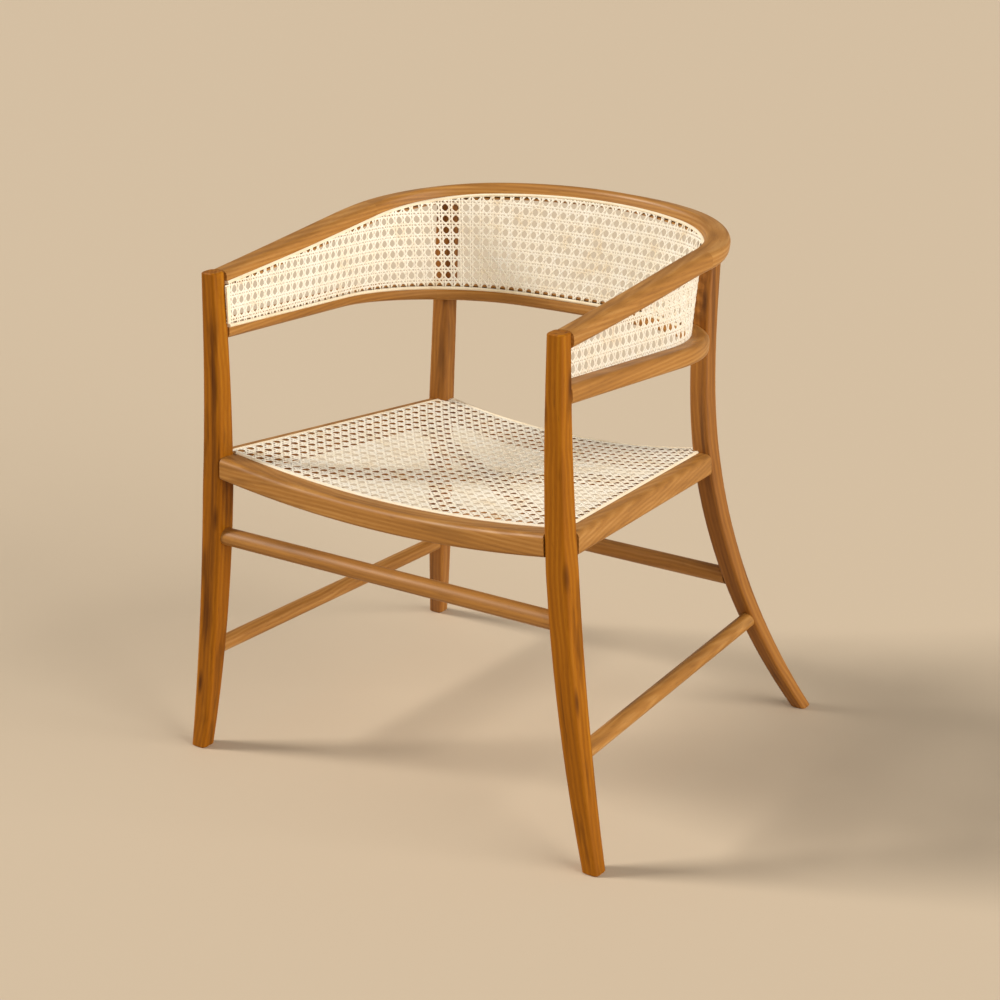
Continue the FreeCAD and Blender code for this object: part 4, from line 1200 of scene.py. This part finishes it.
@dataclass
class Trim:
    """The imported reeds, dowels and screws."""

    reeds: tuple[str, ...] = ("back_spline_top", "back_spline_lower", "seat_front_spline",
                              "seat_rear_spline", *pairs("back_edge_bead", "seat_side_spline"))
    dowels: tuple[str, ...] = ("top_rail_dowels", "lower_rail_dowels", "leg_top_dowels",
                               "seat_frame_dowels")
    screws: tuple[str, ...] = ("brace_screws",)

    def dress(self, smooth: bpy.types.NodeTree) -> None:
        """Give the trim its finishes.

        Args:
            smooth: the shading modifier's nodes.
        """
        reed = cane_material("reed", REED)
        raw = plain_material("raw_dowel", RAW_DOWEL)
        steel = plain_material("zinc_screw", ZINC_SCREW)
        for names, material in ((self.reeds, reed), (self.dowels, raw), (self.screws, steel)):
            for name in names:
                finish(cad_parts[name], material, smooth)
                log.info("%s dressed in %s", name, material.name)


@dataclass
class Studio:
    """Floor, light and camera."""

    floor_colour: Rgb = (0.595, 0.487, 0.361)
    floor_roughness: float = 0.9
    floor_specular: float = 0.1
    floor_reach: float = 16.0
    sky: float = 0.27
    sky_colour: Rgb = (1.0, 0.96, 0.90)
    sun_colour: Rgb = (1.0, 0.955, 0.885)
    sun_distance: float = 4.0
    key_strength: float = 2.95
    key_spread: float = math.radians(16.0)
    key_from: Xyz = (-0.80, -0.47, 0.62)
    fill_strength: float = 3.4
    fill_spread: float = math.radians(50.0)
    fill_from: Xyz = (0.95, -0.04, 0.30)
    camera_place: Xyz = (1.5142, -2.2951, 1.3431)
    azimuth: float = math.radians(33.594)
    elevation: float = math.radians(20.037)
    lens: float = 76.99
    sensor: float = 36.0
    sight: float = 60.0

    def floor(self) -> None:
        """A plain pale floor, a single flat square."""
        corners = [(-1, -1, 0), (1, -1, 0), (1, 1, 0), (-1, 1, 0)]
        points = self.floor_reach * np.array(corners)
        floor = mesh_object("floor", points, np.arange(CORNERS)[None, :])
        material, sketch, shader = new_material("floor")
        sketch.feed(shader, {"Base Color": (*self.floor_colour, 1.0), "Roughness": self.floor_roughness,
                             "Specular IOR Level": self.floor_specular})
        floor.data.materials.append(material)

    def sun(self, name: str, strength: float, spread: float, come_from: Xyz) -> None:
        """Add a warm sun.

        Args:
            name: the light's name.
            strength: its light on a surface that faces it.
            spread: its angle, which softens the shadows.
            come_from: the direction it shines from.
        """
        light = bpy.data.lights.new(name, "SUN")
        light.energy = strength
        light.angle = spread
        light.color = self.sun_colour
        lamp = bpy.data.objects.new(name, light)
        lamp.location = self.sun_distance * Vector(come_from)
        lamp.rotation_euler = Vector(come_from).to_track_quat("Z", "Y").to_euler()
        bpy.context.scene.collection.objects.link(lamp)

    def light(self) -> None:
        """A sun from the left, a much softer one from the right and an even sky."""
        self.sun("key", self.key_strength, self.key_spread, self.key_from)
        self.sun("fill", self.fill_strength, self.fill_spread, self.fill_from)
        world = bpy.data.worlds.new("sky")
        world.use_nodes = True
        sky = world.node_tree.nodes["Background"]
        sky.inputs["Color"].default_value = (*self.sky_colour, 1.0)
        sky.inputs["Strength"].default_value = self.sky
        bpy.context.scene.world = world

    def camera(self) -> None:
        """The camera at the photograph's place, level and without shift."""
        lens = bpy.data.cameras.new("camera")
        lens.sensor_width = self.sensor
        lens.lens = self.lens
        lens.clip_end = self.sight
        camera = bpy.data.objects.new("camera", lens)
        right = Vector((math.cos(self.azimuth), math.sin(self.azimuth), 0))
        back = Vector((math.sin(self.azimuth) * math.cos(self.elevation),
                       -math.cos(self.azimuth) * math.cos(self.elevation), math.sin(self.elevation)))
        turn = Matrix((right, back.cross(right), back)).transposed()
        camera.matrix_world = Matrix.Translation(Vector(self.camera_place)) @ turn.to_4x4()
        bpy.context.scene.collection.objects.link(camera)
        bpy.context.scene.camera = camera

    def build(self) -> None:
        """Set up the whole studio."""
        self.floor()
        self.light()
        self.camera()
        bpy.context.scene.view_settings.view_transform = "Standard"


def main() -> None:
    """Dress the chair, weave its cane and set up the studio."""
    logging.basicConfig(level=logging.INFO, format="%(name)s: %(message)s")
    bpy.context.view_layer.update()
    woodwork = Woodwork()
    smooth = smooth_group(woodwork.smooth_angle)
    woodwork.dress(TeakShop(), smooth)
    Trim().dress(smooth)
    cane = cane_material("cane", CaneFinish())
    back = Weave("back_weave", BackSheet(), "back_cane", pitch_u=0.0140, pitch_v=0.0159, origin_v=0.0095)
    back.build(cane)
    seat = Weave("seat_weave", SeatSheet(), "seat_cane", pitch_u=0.0143, pitch_v=0.0163, origin_v=0.0455)
    seat.build(cane)
    Studio().build()


if __name__ == "__main__":
    main()
